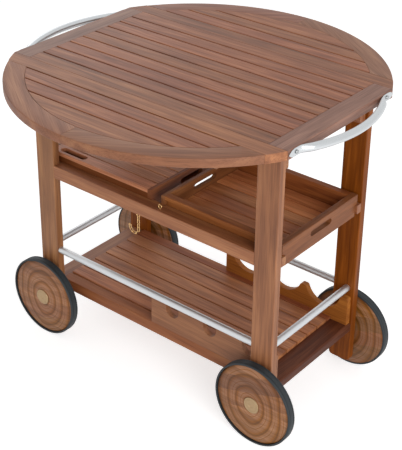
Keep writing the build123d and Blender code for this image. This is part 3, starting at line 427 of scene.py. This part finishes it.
def select_only(*pieces: bpy.types.Object) -> None:
    """Select nothing but some pieces, so that the next tool works on them only.

    Args:
        pieces: The pieces, of which the last becomes the active one.
    """
    bpy.ops.object.select_all(action="DESELECT")
    for piece in pieces:
        piece.select_set(True)
        bpy.context.view_layer.objects.active = piece


def face_outwards() -> None:
    """Turn all faces of the active piece outwards, and leave edit mode."""
    bpy.ops.object.mode_set(mode="EDIT")
    bpy.ops.mesh.select_all(action="SELECT")
    bpy.ops.mesh.normals_make_consistent(inside=False)
    bpy.ops.object.mode_set(mode="OBJECT")


def extrude_by(step_mm: Vector) -> None:
    """Extrude what is selected by a step in millimetres."""
    bpy.ops.mesh.extrude_region_move(TRANSFORM_OT_translate={"value": step_mm * MM, "orient_type": "GLOBAL"})


def add_ring(name: str, radius_mm: float, sides: int, axis: Vector, centre_mm: Vector) -> bpy.types.Object:
    """Add a ring of edges to start a turned piece or a tube, and open it for shaping.

    Args:
        name: The piece's name.
        radius_mm: The ring's radius.
        sides: How many edges it has.
        axis: The direction that the ring faces.
        centre_mm: The ring's centre.

    Returns:
        The new object, in edit mode, with the ring selected.
    """
    select_only()
    turn = axis.to_track_quat("Z", "Y").to_euler()
    bpy.ops.mesh.primitive_circle_add(
        vertices=sides, radius=radius_mm * MM, location=centre_mm * MM, rotation=turn, fill_type="NOTHING"
    )
    piece = bpy.context.active_object
    piece.name = piece.data.name = name
    bpy.ops.object.transform_apply(location=True, rotation=True, scale=True)
    bpy.ops.object.mode_set(mode="EDIT")
    bpy.ops.mesh.select_mode(type="VERT")
    bpy.ops.mesh.select_all(action="SELECT")
    return piece


def turn_on_lathe(
    name: str, profile_mm: list[Span], sides: int, axis: Vector, centre_mm: Vector, looped: bool
) -> bpy.types.Object:
    """Turn a round piece: a ring is extruded along its axis and scaled, step by step.

    Args:
        name: The piece's name.
        profile_mm: Radius and place along the axis of each step.
        sides: How many sides the piece has.
        axis: The direction of the lathe's axis.
        centre_mm: The point that the places along the axis start from.
        looped: True where the last step joins the first, as on a tyre; else both ends are capped.

    Returns:
        The closed piece, in object mode.
    """
    radius, along = profile_mm[0]
    piece = add_ring(name, radius, sides, axis, centre_mm + axis * along)
    for next_radius, next_along in profile_mm[1:] + ([profile_mm[0]] if looped else []):
        extrude_by(axis * (next_along - along))
        scale = next_radius / radius
        bpy.ops.transform.resize(value=(scale,) * 3, center_override=(centre_mm + axis * next_along) * MM)
        radius, along = next_radius, next_along
    bpy.ops.mesh.select_all(action="SELECT")
    bpy.ops.mesh.remove_doubles(threshold=MERGE_MM * MM)
    if not looped:
        bpy.ops.mesh.fill_holes(sides=0)
    face_outwards()
    return piece


def pick(piece: bpy.types.Object, wanted: Callable[[Vector], bool]) -> None:
    """Select the points of a piece that pass a test, in edit mode.

    Args:
        piece: The piece in edit mode.
        wanted: Takes a point in millimetres and says whether it is selected.
    """
    bpy.ops.object.mode_set(mode="OBJECT")
    mesh = piece.data
    for point in mesh.vertices:
        point.select = wanted(point.co / MM)
    for edge in mesh.edges:
        edge.select = all(mesh.vertices[i].select for i in edge.vertices)
    for face in mesh.polygons:
        face.select = all(mesh.vertices[i].select for i in face.vertices)
    bpy.ops.object.mode_set(mode="EDIT")


def mirrored_copy(piece: bpy.types.Object, name: str, scale: Place) -> bpy.types.Object:
    """Copy a piece to the other side of the cart, with its own mesh.

    Args:
        piece: The finished piece.
        name: The copy's name.
        scale: 1 or -1 for each axis.

    Returns:
        The copy, with its faces outwards.
    """
    copy = piece.copy()
    copy.data = piece.data.copy()
    copy.name = copy.data.name = name
    bpy.context.scene.collection.objects.link(copy)
    select_only(copy)
    copy.scale = scale
    bpy.ops.object.transform_apply(location=True, rotation=True, scale=True)
    face_outwards()
    return copy


def smooth(piece: bpy.types.Object, degrees: float = 32.0) -> None:
    """Shade a piece smoothly, except over edges sharper than the angle.

    Args:
        piece: The piece.
        degrees: The angle from which an edge stays sharp.
    """
    select_only(piece)
    bpy.ops.object.shade_smooth_by_angle(angle=math.radians(degrees))


def paint(piece: bpy.types.Object, material: bpy.types.Material) -> None:
    """Give a piece one material in place of all that it has."""
    piece.data.materials.clear()
    piece.data.materials.append(material)


def hand_over(
    piece: bpy.types.Object, material: bpy.types.Material, body: str, slot: str, *nodes: str
) -> None:
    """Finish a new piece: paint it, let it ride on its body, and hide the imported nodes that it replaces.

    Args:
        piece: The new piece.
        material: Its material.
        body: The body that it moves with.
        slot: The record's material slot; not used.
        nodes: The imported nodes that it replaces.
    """
    paint(piece, material)
    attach(piece, body)
    if nodes:
        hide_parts(*nodes)
    LOG.info("%s rides on %s", piece.name, body)


def dress(nodes: Nodes, names: list[str], finish: OiledHardwood | Metal) -> None:
    """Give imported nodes, whose shapes stay as they are, their real material.

    Args:
        nodes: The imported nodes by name.
        names: The nodes to dress.
        finish: Their finish, which is built once for all of them.
    """
    material = finish.build()
    for name in names:
        paint(nodes[name], material)
        LOG.info("%s is dressed in %s", name, material.name)


@dataclass
class RoundTop:
    """The round slatted top: fixed slats, end rails and two drop leaves with curved borders."""

    radius_mm: float = 485.0
    thickness_mm: float = 23.0
    height_mm: float = 840.0
    border_mm: float = 54.0
    leaf_from_mm: float = 265.55
    joint_mm: float = 0.8
    outer_round_mm: float = 2.6
    inner_round_mm: float = 1.0
    round_steps: int = 4
    slat_pitch_mm: float = 48.5
    rail_cut_mm: Span = (900.0, 0.0)
    sides: int = 240

    def build(self, nodes: Nodes) -> None:
        """Shape the curved borders and dress the rest of the top.

        Args:
            nodes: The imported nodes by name.
        """
        # Each slat is a board of its own, so the top shows stripes of slightly different red browns
        slats = OiledHardwood(
            "oiled_hardwood_slats", ("#65361f", "#905738", "#b67850"),
            cut_y_mm=(self.slat_pitch_mm, self.slat_pitch_mm / 2), tone_spread=0.3,
        )
        leaf_boards = [f"{side}_leaf_{part}" for side, _ in SIDES for part in ("rail", "slats")]
        dress(nodes, ["top_slats", *leaf_boards], slats)
        # The end rails' grain runs across; their greyer brown tones are painted sheen, the light they catch
        rails = OiledHardwood(
            "oiled_hardwood_end_rails_painted_sheen", ("#684131", "#88614f", "#a47965"), Grain.DEPTH,
            cut_x_mm=self.rail_cut_mm, tone_spread=0.2, seed=11.0,
        )
        dress(nodes, ["top_end_rail_left", "top_end_rail_right"], rails)
        # The borders are sawn from straight boards laid aslant, so their broad figure runs off the curve
        curved = OiledHardwood(
            "oiled_hardwood_curved", ("#6e4029", "#905e45", "#ae7a5b"), cut_x_mm=HALVED, cut_y_mm=HALVED,
            tone_spread=0.14, seed=23.0, mirrored=True, turn_deg=34.0, figure_mm=22.0,
        )
        # The front border's richer, less shiny copy of the wood is painted light, for its weaker sheen
        near = replace(
            curved, name="oiled_hardwood_front_curved_painted_light", tones=("#6d3e25", "#8f5c40", "#ad7854"), gloss=0.42
        )
        woods = {"front": near.build(), "back": curved.build()}
        quarter = self._quarter_border()
        for side, y_sign in SIDES:
            right = mirrored_copy(quarter, f"{side}_border", (1.0, y_sign, 1.0))
            left = mirrored_copy(quarter, f"{side}_border_left", (-1.0, y_sign, 1.0))
            select_only(left, right)
            bpy.ops.object.join()
            smooth(right)
            hand_over(right, woods[side], f"{side}_leaf", "border_wood", f"{side}_leaf_border")
        bpy.data.objects.remove(quarter)

    def _quarter_border(self) -> bpy.types.Object:
        """Shape the curved border of the front leaf's right half.

        Returns:
            The closed piece with rounded arrises.
        """
        outer, inner = self.radius_mm, self.radius_mm - self.border_mm
        low, high = self.height_mm - self.thickness_mm, self.height_mm
        profile = [(inner, low), (outer, low), (outer, high), (inner, high)]
        piece = turn_on_lathe("quarter_border", profile, self.sides, Vector((0, 0, 1)), Vector(), True)
        bpy.ops.object.mode_set(mode="EDIT")
        cuts = (((0, -self.leaf_from_mm, 0), (0, -1, 0)), ((self.joint_mm / 2, 0, 0), (1, 0, 0)))
        for point, kept_side in cuts:
            bpy.ops.mesh.select_all(action="SELECT")
            bpy.ops.mesh.bisect(
                plane_co=Vector(point) * MM, plane_no=kept_side,
                use_fill=True, clear_inner=True, clear_outer=False,
            )
        rim_margin, face_margin = 0.4, 0.01
        for radius, rounding in ((outer, self.outer_round_mm), (inner, self.inner_round_mm)):
            for level in (low, high):
                pick(
                    piece,
                    lambda p: abs(p.xy.length - radius) < rim_margin and abs(p.z - level) < face_margin,
                )
                bpy.ops.mesh.bevel(
                    offset=rounding * MM, segments=self.round_steps, profile=0.5,
                    affect="EDGES", clamp_overlap=True,
                )
        bpy.ops.object.mode_set(mode="OBJECT")
        return piece


@dataclass
class LoadFrame:
    """Legs, rails, aprons, battens and runners under the top, and the leaves' battens."""

    rail_cut_mm: Span = (24.0, 0.0)
    batten_cut_mm: Span = (100.0, 50.0)

    def build(self, nodes: Nodes) -> None:
        """Dress the legs and all members that join them.

        Args:
            nodes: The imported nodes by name.
        """
        # The legs' long, straight grain stands upright on their flat faces
        legs = OiledHardwood(
            "oiled_hardwood_legs", ("#673b20", "#8f5d38", "#b77f52"), Grain.HEIGHT,
            cut_x_mm=HALVED, cut_y_mm=HALVED, tone_spread=0.1, figure_mm=14.0, stretch=16.0, seed=5.0,
        )
        dress(nodes, ["leg_front_left", "leg_front_right"], legs)
        # The back legs' deeper orange with little shine is painted shade: they stand in the top's shade
        back_legs = replace(
            legs, name="oiled_hardwood_back_legs_painted_shade", tones=("#572606", "#7a3b0b", "#9a5117"), gloss=0.15
        )
        dress(nodes, ["leg_back_left", "leg_back_right"], back_legs)
        # The rails, runners and aprons are long, plain boards of a mid brown
        rails = OiledHardwood(
            "oiled_hardwood_rails", ("#724024", "#935c39", "#ae764d"),
            cut_y_mm=self.rail_cut_mm, tone_spread=0.16, seed=31.0,
        )
        dress(nodes, ["mid_rail_front", "mid_rail_back", "tray_runners", "apron_front", "apron_back"], rails)
        # The battens' grain runs front to back, out of sight under the slats
        battens = OiledHardwood(
            "oiled_hardwood_battens", grain=Grain.DEPTH, cut_x_mm=self.batten_cut_mm, seed=43.0
        )
        dress(nodes, ["top_battens", "front_leaf_battens", "back_leaf_battens"], battens)


@dataclass
class Trays:
    """The open tray on the right and the slatted tray on the left."""

    floor_pitch_mm: float = 46.6
    deck_pitch_mm: float = 40.75
    end_cut_mm: Span = (200.0, 0.0)

    def build(self, nodes: Nodes) -> None:
        """Dress the trays: each wall and slat is a board of its own.

        Args:
            nodes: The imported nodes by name.
        """
        # The end walls' grain runs across; their dark brown is painted shade, for the shade below the top
        ends = OiledHardwood(
            "oiled_hardwood_tray_ends_painted_shade", ("#592f16", "#7a4727", "#965f38"), Grain.DEPTH,
            cut_x_mm=self.end_cut_mm, tone_spread=0.16, gloss=0.3, seed=61.0,
        )
        dress(nodes, [f"{end}_tray_end_{place}" for end, _ in ENDS for place in ("inner", "outer")], ends)
        # The long walls' warm orange brown with little shine is painted shade, for the shade of the top
        walls = OiledHardwood(
            "oiled_hardwood_tray_walls_painted_shade", ("#693416", "#8a4e26", "#a56434"),
            cut_x_mm=HALVED, cut_y_mm=HALVED, gloss=0.2, seed=67.0,
        )
        dress(nodes, ["right_tray_walls"], walls)
        # The slatted tray's long walls and floor, seen only through its slots, are dark with painted shade
        inside = replace(walls, name="oiled_hardwood_tray_inside_painted_shade", tones=("#59290f", "#743d1c", "#8f532e"))
        dress(nodes, ["left_tray_walls"], inside)
        # The open tray's floor slats differ more in tone than the other slats
        floor = OiledHardwood(
            "oiled_hardwood_tray_floor", ("#894d2a", "#bb7647", "#e19c64"),
            cut_y_mm=(self.floor_pitch_mm, 0.0), tone_spread=0.34, gloss=0.35, seed=71.0,
        )
        dress(nodes, ["right_tray_floor"], floor)
        # The slatted tray's top lies open to the light, and its paler tones are painted light
        deck = OiledHardwood(
            "oiled_hardwood_tray_deck_painted_light", ("#814b30", "#b2734e", "#db986c"),
            cut_y_mm=(self.deck_pitch_mm, 0.0), seed=73.0,
        )
        dress(nodes, ["left_tray_deck"], deck)


@dataclass
class Shelf:
    """The bottom shelf with its slats, rails and the two boards for lying bottles."""

    slat_pitch_mm: float = 45.7

    def build(self, nodes: Nodes) -> None:
        """Dress the shelf: each slat is a board of its own.

        Args:
            nodes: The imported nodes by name.
        """
        # The shelf's slats are a clear mid brown with an even satin shine
        slats = OiledHardwood(
            "oiled_hardwood_shelf_slats", ("#784125", "#a66741", "#ce8958"),
            cut_y_mm=(self.slat_pitch_mm, 0.0), seed=83.0,
        )
        dress(nodes, ["shelf_slats"], slats)
        # The side rails are a darker, duller copy of the slats' wood: painted shade
        rails = replace(
            slats, name="oiled_hardwood_side_rails_painted_shade", tones=("#713b20", "#915433", "#a96d45"), gloss=0.25
        )
        dress(nodes, ["shelf_side_rails"], rails)
        # The end rails' grain runs across; the right one's dark tones are painted shade
        left_end = OiledHardwood("oiled_hardwood_left_end", grain=Grain.DEPTH, seed=89.0)
        dress(nodes, ["shelf_end_left"], left_end)
        right_end = replace(
            left_end, name="oiled_hardwood_right_end_painted_shade", tones=("#3a1a0c", "#59301b", "#774629"), gloss=0.2
        )
        dress(nodes, ["shelf_end_right"], right_end)
        # The back bottle board is golden with a broad figure; the front one is a red brown
        # The back board's warm orange is its own, and its deeper orange with little shine is partly painted
        # shade
        board = OiledHardwood(
            "oiled_hardwood_bottle_boards", ("#784315", "#9f6126", "#c07f35"),
            cut_y_mm=HALVED, gloss=0.2, figure_mm=20.0, tone_spread=0.1, seed=97.0,
        )
        dress(nodes, ["bottle_board_back"], board)
        near_board = replace(
            board, name="oiled_hardwood_front_board", tones=("#673a26", "#885538", "#a66f4c"), gloss=0.4
        )
        dress(nodes, ["bottle_board_front"], near_board)


@dataclass
class Wheels:
    """Four wheels: discs glued up from boards, rubber tyres and brass hub caps.

    An outline's points are given inwards from the rim, and along the axle from the inner side; those of
    the disc's edge go down from its outer face, and those of the cap up from it.
    """

    axle_x_mm: float = 369.0
    radius_mm: float = 115.5
    inner_y_mm: float = 206.0
    width_mm: float = 23.0
    tyre_mm: float = 5.0
    bore_mm: float = 6.05
    back_step_mm: float = 0.4
    back_round_mm: float = 1.0
    dome_steps: int = 6
    dome_margins_mm: Span = (8.0, 5.0)
    dome_drop_mm: float = 3.0
    dome_power: float = 2.2
    edge_outline_mm: Outline = ((2.4, 1.0), (0.8, 2.2), (0.0, 3.6))
    shoulder_outline_mm: Outline = ((2.2, 0.0), (1.1, 0.3), (0.3, 1.1), (0.0, 2.2))
    groove_outline_mm: Outline = ((0.0, 4.4), (0.9, 4.8), (0.9, 5.6), (0.0, 6.0))
    cap_radius_mm: float = 22.5
    cap_rim_outline_mm: Outline = ((0.0, 0.05), (0.0, 1.2), (0.5, 2.2), (1.7, 2.9), (3.4, 3.2), (4.6, 3.2))
    cap_ring_outline_mm: Outline = ((5.4, 2.5), (6.6, 2.5), (7.4, 3.1), (12.0, 3.4))
    cap_pit_outline_mm: Outline = ((16.1, 3.4), (16.9, 2.6), (21.0, 2.4))
    disc_cut_mm: Span = (800.0, 0.0)
    board_cut_mm: Span = (44.0, 16.1)
    board_tilt_deg: float = 18.4
    heart_off_mm: Span = (6.0, 4.0)
    sides: int = 128

    def build(self) -> None:
        """Shape one wheel and copy it to the four legs."""
        axis = Vector((0, -1, 0))
        centre = Vector((self.axle_x_mm, -self.inner_y_mm, self.radius_mm))
        disc = turn_on_lathe("disc", self._disc_profile(), self.sides, axis, centre, True)
        tyre = turn_on_lathe("tyre", self._tyre_profile(), self.sides, axis, centre, True)
        cap = turn_on_lathe("cap", self._cap_profile(), self.sides // 2, axis, centre, False)
        heart_x, heart_z = self.axle_x_mm - self.heart_off_mm[0], self.radius_mm - self.heart_off_mm[1]
        # Slanting boards of quite different tones are glued up flat-sawn, so growth rings circle the hub
        wood = OiledHardwood(
            "oiled_hardwood_wheel_disc", ("#6c462b", "#926648", "#b08265"),
            cut_x_mm=self.disc_cut_mm, cut_y_mm=self.disc_cut_mm, cut_z_mm=self.board_cut_mm,
            board_tilt_deg=self.board_tilt_deg, ring_centre_mm=(heart_x, 0.0, heart_z), mirrored=True,
            tone_spread=0.6, seed=117451.0,
        ).build()
        # Moulded rubber is matt and nearly black, with a cool slate bloom
        rubber = MouldedRubber("moulded_slate_rubber").build()
        # Caps spun from brass sheet are a pale, dull gold
        brass = Metal("spun_brass", "#a9906f", 0.5, mottle_mm=4.0).build()
        pieces = (
            (disc, "disc", "wheel_disc", "wheel_wood", wood),
            (tyre, "tread", "tyre", "tyre_rubber", rubber),
            (cap, "cap", "hub_cap", "brass", brass),
        )
        for side, y_sign in SIDES:
            for end, x_sign in ENDS:
                for model, kind, node, slot, material in pieces:
                    piece = mirrored_copy(model, f"wheel_{kind}_piece_{side}_{end}", (x_sign, y_sign, 1.0))
                    smooth(piece)
                    hand_over(piece, material, f"wheel_{side}_{end}", slot, f"{node}_{side}_{end}")
        for model in (disc, tyre, cap):
            bpy.data.objects.remove(model)

    def _disc_profile(self) -> list[Span]:
        """Give the disc's section: slightly domed outside, with a rounded rim below the tyre.

        Returns:
            Radius and place along the axle of each point.
        """
        rim, face = self.radius_mm - self.tyre_mm, self.width_mm
        dome_from = self.cap_radius_mm + self.dome_margins_mm[0]
        dome_to = rim - self.dome_margins_mm[1]
        shares = [step / self.dome_steps for step in range(self.dome_steps + 1)]
        dome = [
            (dome_from + share * (dome_to - dome_from), face - self.dome_drop_mm * share**self.dome_power)
            for share in shares
        ]
        edge = [(rim - inset, face - self.dome_drop_mm - drop) for inset, drop in self.edge_outline_mm]
        back = [(rim, self.back_round_mm), (rim - self.back_round_mm, self.back_step_mm)]
        return [(self.bore_mm, self.back_step_mm), (self.bore_mm, face), *dome, *edge, *back]

    def _tyre_profile(self) -> list[Span]:
        """Give the tyre's section: rounded shoulders and two shallow grooves near them.

        Returns:
            Radius and place along the axle of each point.
        """
        rim, width = self.radius_mm - self.tyre_mm, self.width_mm
        half = [
            (self.radius_mm - inset, along)
            for inset, along in (*self.shoulder_outline_mm, *self.groove_outline_mm)
        ]
        other_half = [(radius, width - along) for radius, along in reversed(half)]
        return [(rim, 0.0), *half, *other_half, (rim, width)]

    def _cap_profile(self) -> list[Span]:
        """Give the hub cap's section: a rolled rim, a shallow groove, a low dome and a small centre pit."""
        outline = self.cap_rim_outline_mm + self.cap_ring_outline_mm + self.cap_pit_outline_mm
        return [(self.cap_radius_mm - inset, self.width_mm + rise) for inset, rise in outline]


@dataclass
class TubeHandle:
    """One of the two bent tube handles whose flattened ends are screwed to the top's end rails."""

    reach_mm: float = 481.0
    arc_radius_mm: float = 360.0
    arc_half_mm: float = 145.0
    tube_radius_mm: float = 9.9
    tab_x_mm: float = 435.5
    tab_from_mm: float = 178.0
    tab_to_mm: float = 211.0
    tab_thick_mm: float = 3.0
    tab_high_mm: float = 21.0
    # How the tab's height narrows to its rounded tip: share of its length, share of its height
    tab_outline: Outline = ((0.55, 1.0), (0.8, 0.82), (0.93, 0.55), (1.0, 0.22))
    axis_z_mm: float = 828.5
    sides: int = 32
    arc_steps: int = 20
    bend_steps: int = 8
    seam_mm: float = 0.05
    smooth_deg: float = 50.0

    def build(self) -> None:
        """Shape the right handle, then copy it to the left end."""
        # Brushed stainless tube is a bright, cool grey with soft, long reflections
        metal = Metal("brushed_stainless_tube", "#c9ccce", 0.3).build()
        right = self._half()
        mirror = right.modifiers.new("other_half", "MIRROR")
        mirror.use_axis = (False, True, False)
        mirror.use_mirror_merge = True
        mirror.merge_threshold = self.seam_mm * MM
        select_only(right)
        bpy.ops.object.modifier_apply(modifier=mirror.name)
        face_outwards()
        left = mirrored_copy(right, "tube_handle_left", (-1.0, 1.0, 1.0))
        for piece, node in ((right, "handle_right"), (left, "handle_left")):
            smooth(piece, self.smooth_deg)
            hand_over(piece, metal, "frame", "satin_metal", node)

    def _half(self) -> bpy.types.Object:
        """Shape the right handle from its middle to its front end.

        Returns:
            The half handle, open at the middle and closed at its flattened end.
        """
        middle = Vector((self.reach_mm, 0, self.axis_z_mm))
        piece = add_ring("tube_handle_right", self.tube_radius_mm, self.sides, Vector((0, 1, 0)), middle)
        turn = math.asin(self.arc_half_mm / self.arc_radius_mm)
        centre = Vector((self.reach_mm - self.arc_radius_mm, 0, self.axis_z_mm))
        bpy.ops.mesh.spin(steps=self.arc_steps, angle=turn, center=centre * MM, axis=(0, 0, 1), dupli=False)
        arc_end_x = centre.x + self.arc_radius_mm * math.cos(turn)
        self._bend_back(Vector((arc_end_x, -self.arc_half_mm, self.axis_z_mm)), turn)
        self._round_off_tab()
        bpy.ops.mesh.edge_face_add()
        bpy.ops.object.mode_set(mode="OBJECT")
        return piece

    def _bend_back(self, arc_end: Vector, turn: float) -> None:
        """Lead the tube from its arc back to the top's edge, while it is pressed flat.

        Args:
            arc_end: The end of the arc.
            turn: The angle that the tube has there against the edge.
        """
        here, length = arc_end, self.tab_from_mm - self.arc_half_mm
        diameter = wide = high = 2 * self.tube_radius_mm
        for step in range(1, self.bend_steps + 1):
            share = step / self.bend_steps
            ease = share * share * (3 - 2 * share)
            run_on = share * (1 - share) ** 2 * length * math.tan(turn)
            x = arc_end.x + (self.tab_x_mm - arc_end.x) * ease - run_on
            there = Vector((x, arc_end.y - length * share, arc_end.z))
            extrude_by(there - here)
            bpy.ops.transform.rotate(
                value=turn / self.bend_steps, orient_axis="Z", orient_type="GLOBAL",
                center_override=there * MM,
            )
            new_wide = diameter + (self.tab_thick_mm - diameter) * ease
            new_high = diameter + (self.tab_high_mm - diameter) * ease
            bpy.ops.transform.resize(
                value=(new_wide / wide, 1.0, new_high / high), orient_type="GLOBAL",
                center_override=there * MM,
            )
            here, wide, high = there, new_wide, new_high

    def _round_off_tab(self) -> None:
        """Run the flattened end along the top's edge and narrow it to a rounded tip."""
        here, high = Vector((self.tab_x_mm, -self.tab_from_mm, self.axis_z_mm)), self.tab_high_mm
        for along, height in self.tab_outline:
            y = -self.tab_from_mm - (self.tab_to_mm - self.tab_from_mm) * along
            there = Vector((self.tab_x_mm, y, self.axis_z_mm))
            extrude_by(there - here)
            new_high = self.tab_high_mm * height
            bpy.ops.transform.resize(
                value=(1.0, 1.0, new_high / high), orient_type="GLOBAL", center_override=there * MM
            )
            here, high = there, new_high


@dataclass
class Fittings:
    """Guard bars, screws, axles, hinges, leaf supports, screw eyes and the hanging chain."""

    # Zinc plating is a soft, even mid grey
    steel: Metal = field(default=Metal("zinc_plated_steel", "#a9abab", 0.38))
    # The bars are brushed duller than the handles, and mirror nothing sharply
    bars: Metal = field(default=Metal("brushed_stainless_bar", "#d2d4d6", 0.5))
    # Polished brass wire glints in a warm, pinkish gold
    brass: Metal = field(default=Metal("polished_brass_wire", "#d9b078", 0.26))

    def build(self, nodes: Nodes) -> None:
        """Dress the bars, the plated steel and the brass.

        Args:
            nodes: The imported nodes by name.
        """
        steel_parts = [
            "axles", "handle_screws", "hinge_plates", "front_leaf_hinges", "back_leaf_hinges",
            "arm_brackets", "front_leaf_arms", "back_leaf_arms",
        ]
        dress(nodes, ["guard_bars"], self.bars)
        dress(nodes, steel_parts, self.steel)
        dress(nodes, ["screw_eyes", "chain"], self.brass)


@dataclass
class Studio:
    """A white photographer's studio: pale floor, soft light and the photograph's camera."""

    camera_m: Place = (1.7367, -2.1306, 2.0175)
    right: Place = (0.77377, 0.63337, 0.01119)
    down: Place = (0.29571, -0.34552, -0.89060)
    forward: Place = (-0.56021, 0.69242, -0.45465)
    lens_mm: float = 95.2
    sensor_mm: float = 36.0
    shift_y: float = -0.1667
    sight_m: Span = (0.05, 50.0)
    key_m: Place = (3.3, -1.9, 1.8)
    key_size_m: float = 2.2
    key_power: float = 80.0
    fill_m: Place = (-1.7, 1.0, 1.5)
    fill_size_m: float = 1.2
    fill_power: float = 4.0
    aim_m: Place = (0.0, 0.0, 0.5)
    horizon_light: float = 1.0
    zenith_light: float = 0.35
    floor_size_m: float = 30.0
    floor_colour: str = "#e6e6e6"
    floor_lift: float = 0.6

    def build(self) -> None:
        """Set up the camera, the light, the world and the floor."""
        self._camera()
        self._soft_lamp("key_light", self.key_m, self.key_size_m, self.key_power)
        self._soft_lamp("fill_light", self.fill_m, self.fill_size_m, self.fill_power)
        self._world()
        self._floor()
        bpy.context.scene.view_settings.view_transform = "Standard"

    def _camera(self) -> None:
        """Place the camera that was fitted to the photograph."""
        data = bpy.data.cameras.new("photo_camera")
        data.lens = self.lens_mm
        data.sensor_width = self.sensor_mm
        data.sensor_fit = "AUTO"
        data.shift_y = self.shift_y
        data.clip_start, data.clip_end = self.sight_m
        camera = bpy.data.objects.new("photo_camera", data)
        columns = [Vector(self.right), -Vector(self.down), -Vector(self.forward)]
        turn = Matrix(columns).transposed().to_4x4()
        camera.matrix_world = Matrix.Translation(Vector(self.camera_m)) @ turn
        bpy.context.scene.collection.objects.link(camera)
        bpy.context.scene.camera = camera

    def _soft_lamp(self, name: str, place_m: Place, size_m: float, power: float) -> None:
        """Stand a large soft lamp that faces the middle of the cart.

        Args:
            name: The lamp's name.
            place_m: Where it stands.
            size_m: The length of its sides.
            power: Its power in watts.
        """
        data = bpy.data.lights.new(name, "AREA")
        data.shape = "SQUARE"
        data.size = size_m
        data.energy = power
        lamp = bpy.data.objects.new(name, data)
        lamp.location = place_m
        lamp.visible_camera = False
        lamp.rotation_mode = "QUATERNION"
        lamp.rotation_quaternion = (Vector(place_m) - Vector(self.aim_m)).to_track_quat("Z", "Y")
        bpy.context.scene.collection.objects.link(lamp)

    def _seen_directly(self, tree: bpy.types.NodeTree) -> bpy.types.NodeSocket:
        """Tell rays that show the background, straight or in metal, from those that light the object.

        Args:
            tree: The node tree of the world or the floor.

        Returns:
            1 for rays that show the background and 0 for the others.
        """
        path = add_node(tree, "ShaderNodeLightPath").outputs
        seen = path["Is Camera Ray"]
        for other in ("Is Glossy Ray", "Is Transmission Ray"):
            seen = add_node(tree, "ShaderNodeMath", {0: seen, 1: path[other]}, operation="MAXIMUM").outputs[0]
        return seen

    def _world(self) -> None:
        """Make the world white where it is seen, and soft light elsewhere, brightest near the horizon."""
        world = bpy.data.worlds.new("studio")
        world.use_nodes = True
        tree = world.node_tree
        tree.nodes.clear()
        direction = add_node(tree, "ShaderNodeTexCoord").outputs["Generated"]
        upwards = add_node(tree, "ShaderNodeSeparateXYZ", {0: direction}).outputs["Z"]
        reach = {"To Min": self.horizon_light, "To Max": self.zenith_light}
        soft = add_node(tree, "ShaderNodeMapRange", {"Value": upwards} | reach).outputs["Result"]
        choice = {"Factor": self._seen_directly(tree), "A": soft, "B": 1.0}
        strength = add_node(tree, "ShaderNodeMix", choice, data_type="FLOAT").outputs["Result"]
        shade = add_node(tree, "ShaderNodeBackground", {"Color": linear("#ffffff"), "Strength": strength})
        add_node(tree, "ShaderNodeOutputWorld", {"Surface": shade.outputs[0]})
        bpy.context.scene.world = world

    def _floor(self) -> None:
        """Lay a pale floor that shows white and keeps the cart's soft shadow."""
        select_only()
        bpy.ops.mesh.primitive_plane_add(size=self.floor_size_m, location=(0, 0, 0))
        floor = bpy.context.active_object
        floor.name = floor.data.name = "floor"
        material, tree = new_material("pale_floor")
        paper = add_node(tree, "ShaderNodeBsdfDiffuse", {"Color": linear(self.floor_colour)}).outputs[0]
        lift = add_node(
            tree, "ShaderNodeEmission", {"Color": linear("#ffffff"), "Strength": self.floor_lift}
        ).outputs[0]
        lifted = add_node(tree, "ShaderNodeAddShader", {0: paper, 1: lift}).outputs[0]
        seen = self._seen_directly(tree)
        shade = add_node(tree, "ShaderNodeMixShader", {0: seen, 1: paper, 2: lifted}).outputs[0]
        add_node(tree, "ShaderNodeOutputMaterial", {"Surface": shade})
        paint(floor, material)


def main() -> None:
    """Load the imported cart, finish each sub-assembly and light it."""
    logging.basicConfig(level=logging.INFO)
    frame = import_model()
    nodes = frame["nodes"]
    RoundTop().build(nodes)
    LoadFrame().build(nodes)
    Trays().build(nodes)
    Shelf().build(nodes)
    Wheels().build()
    TubeHandle().build()
    Fittings().build(nodes)
    Studio().build()
    select_only()


if __name__ == "__main__":
    main()
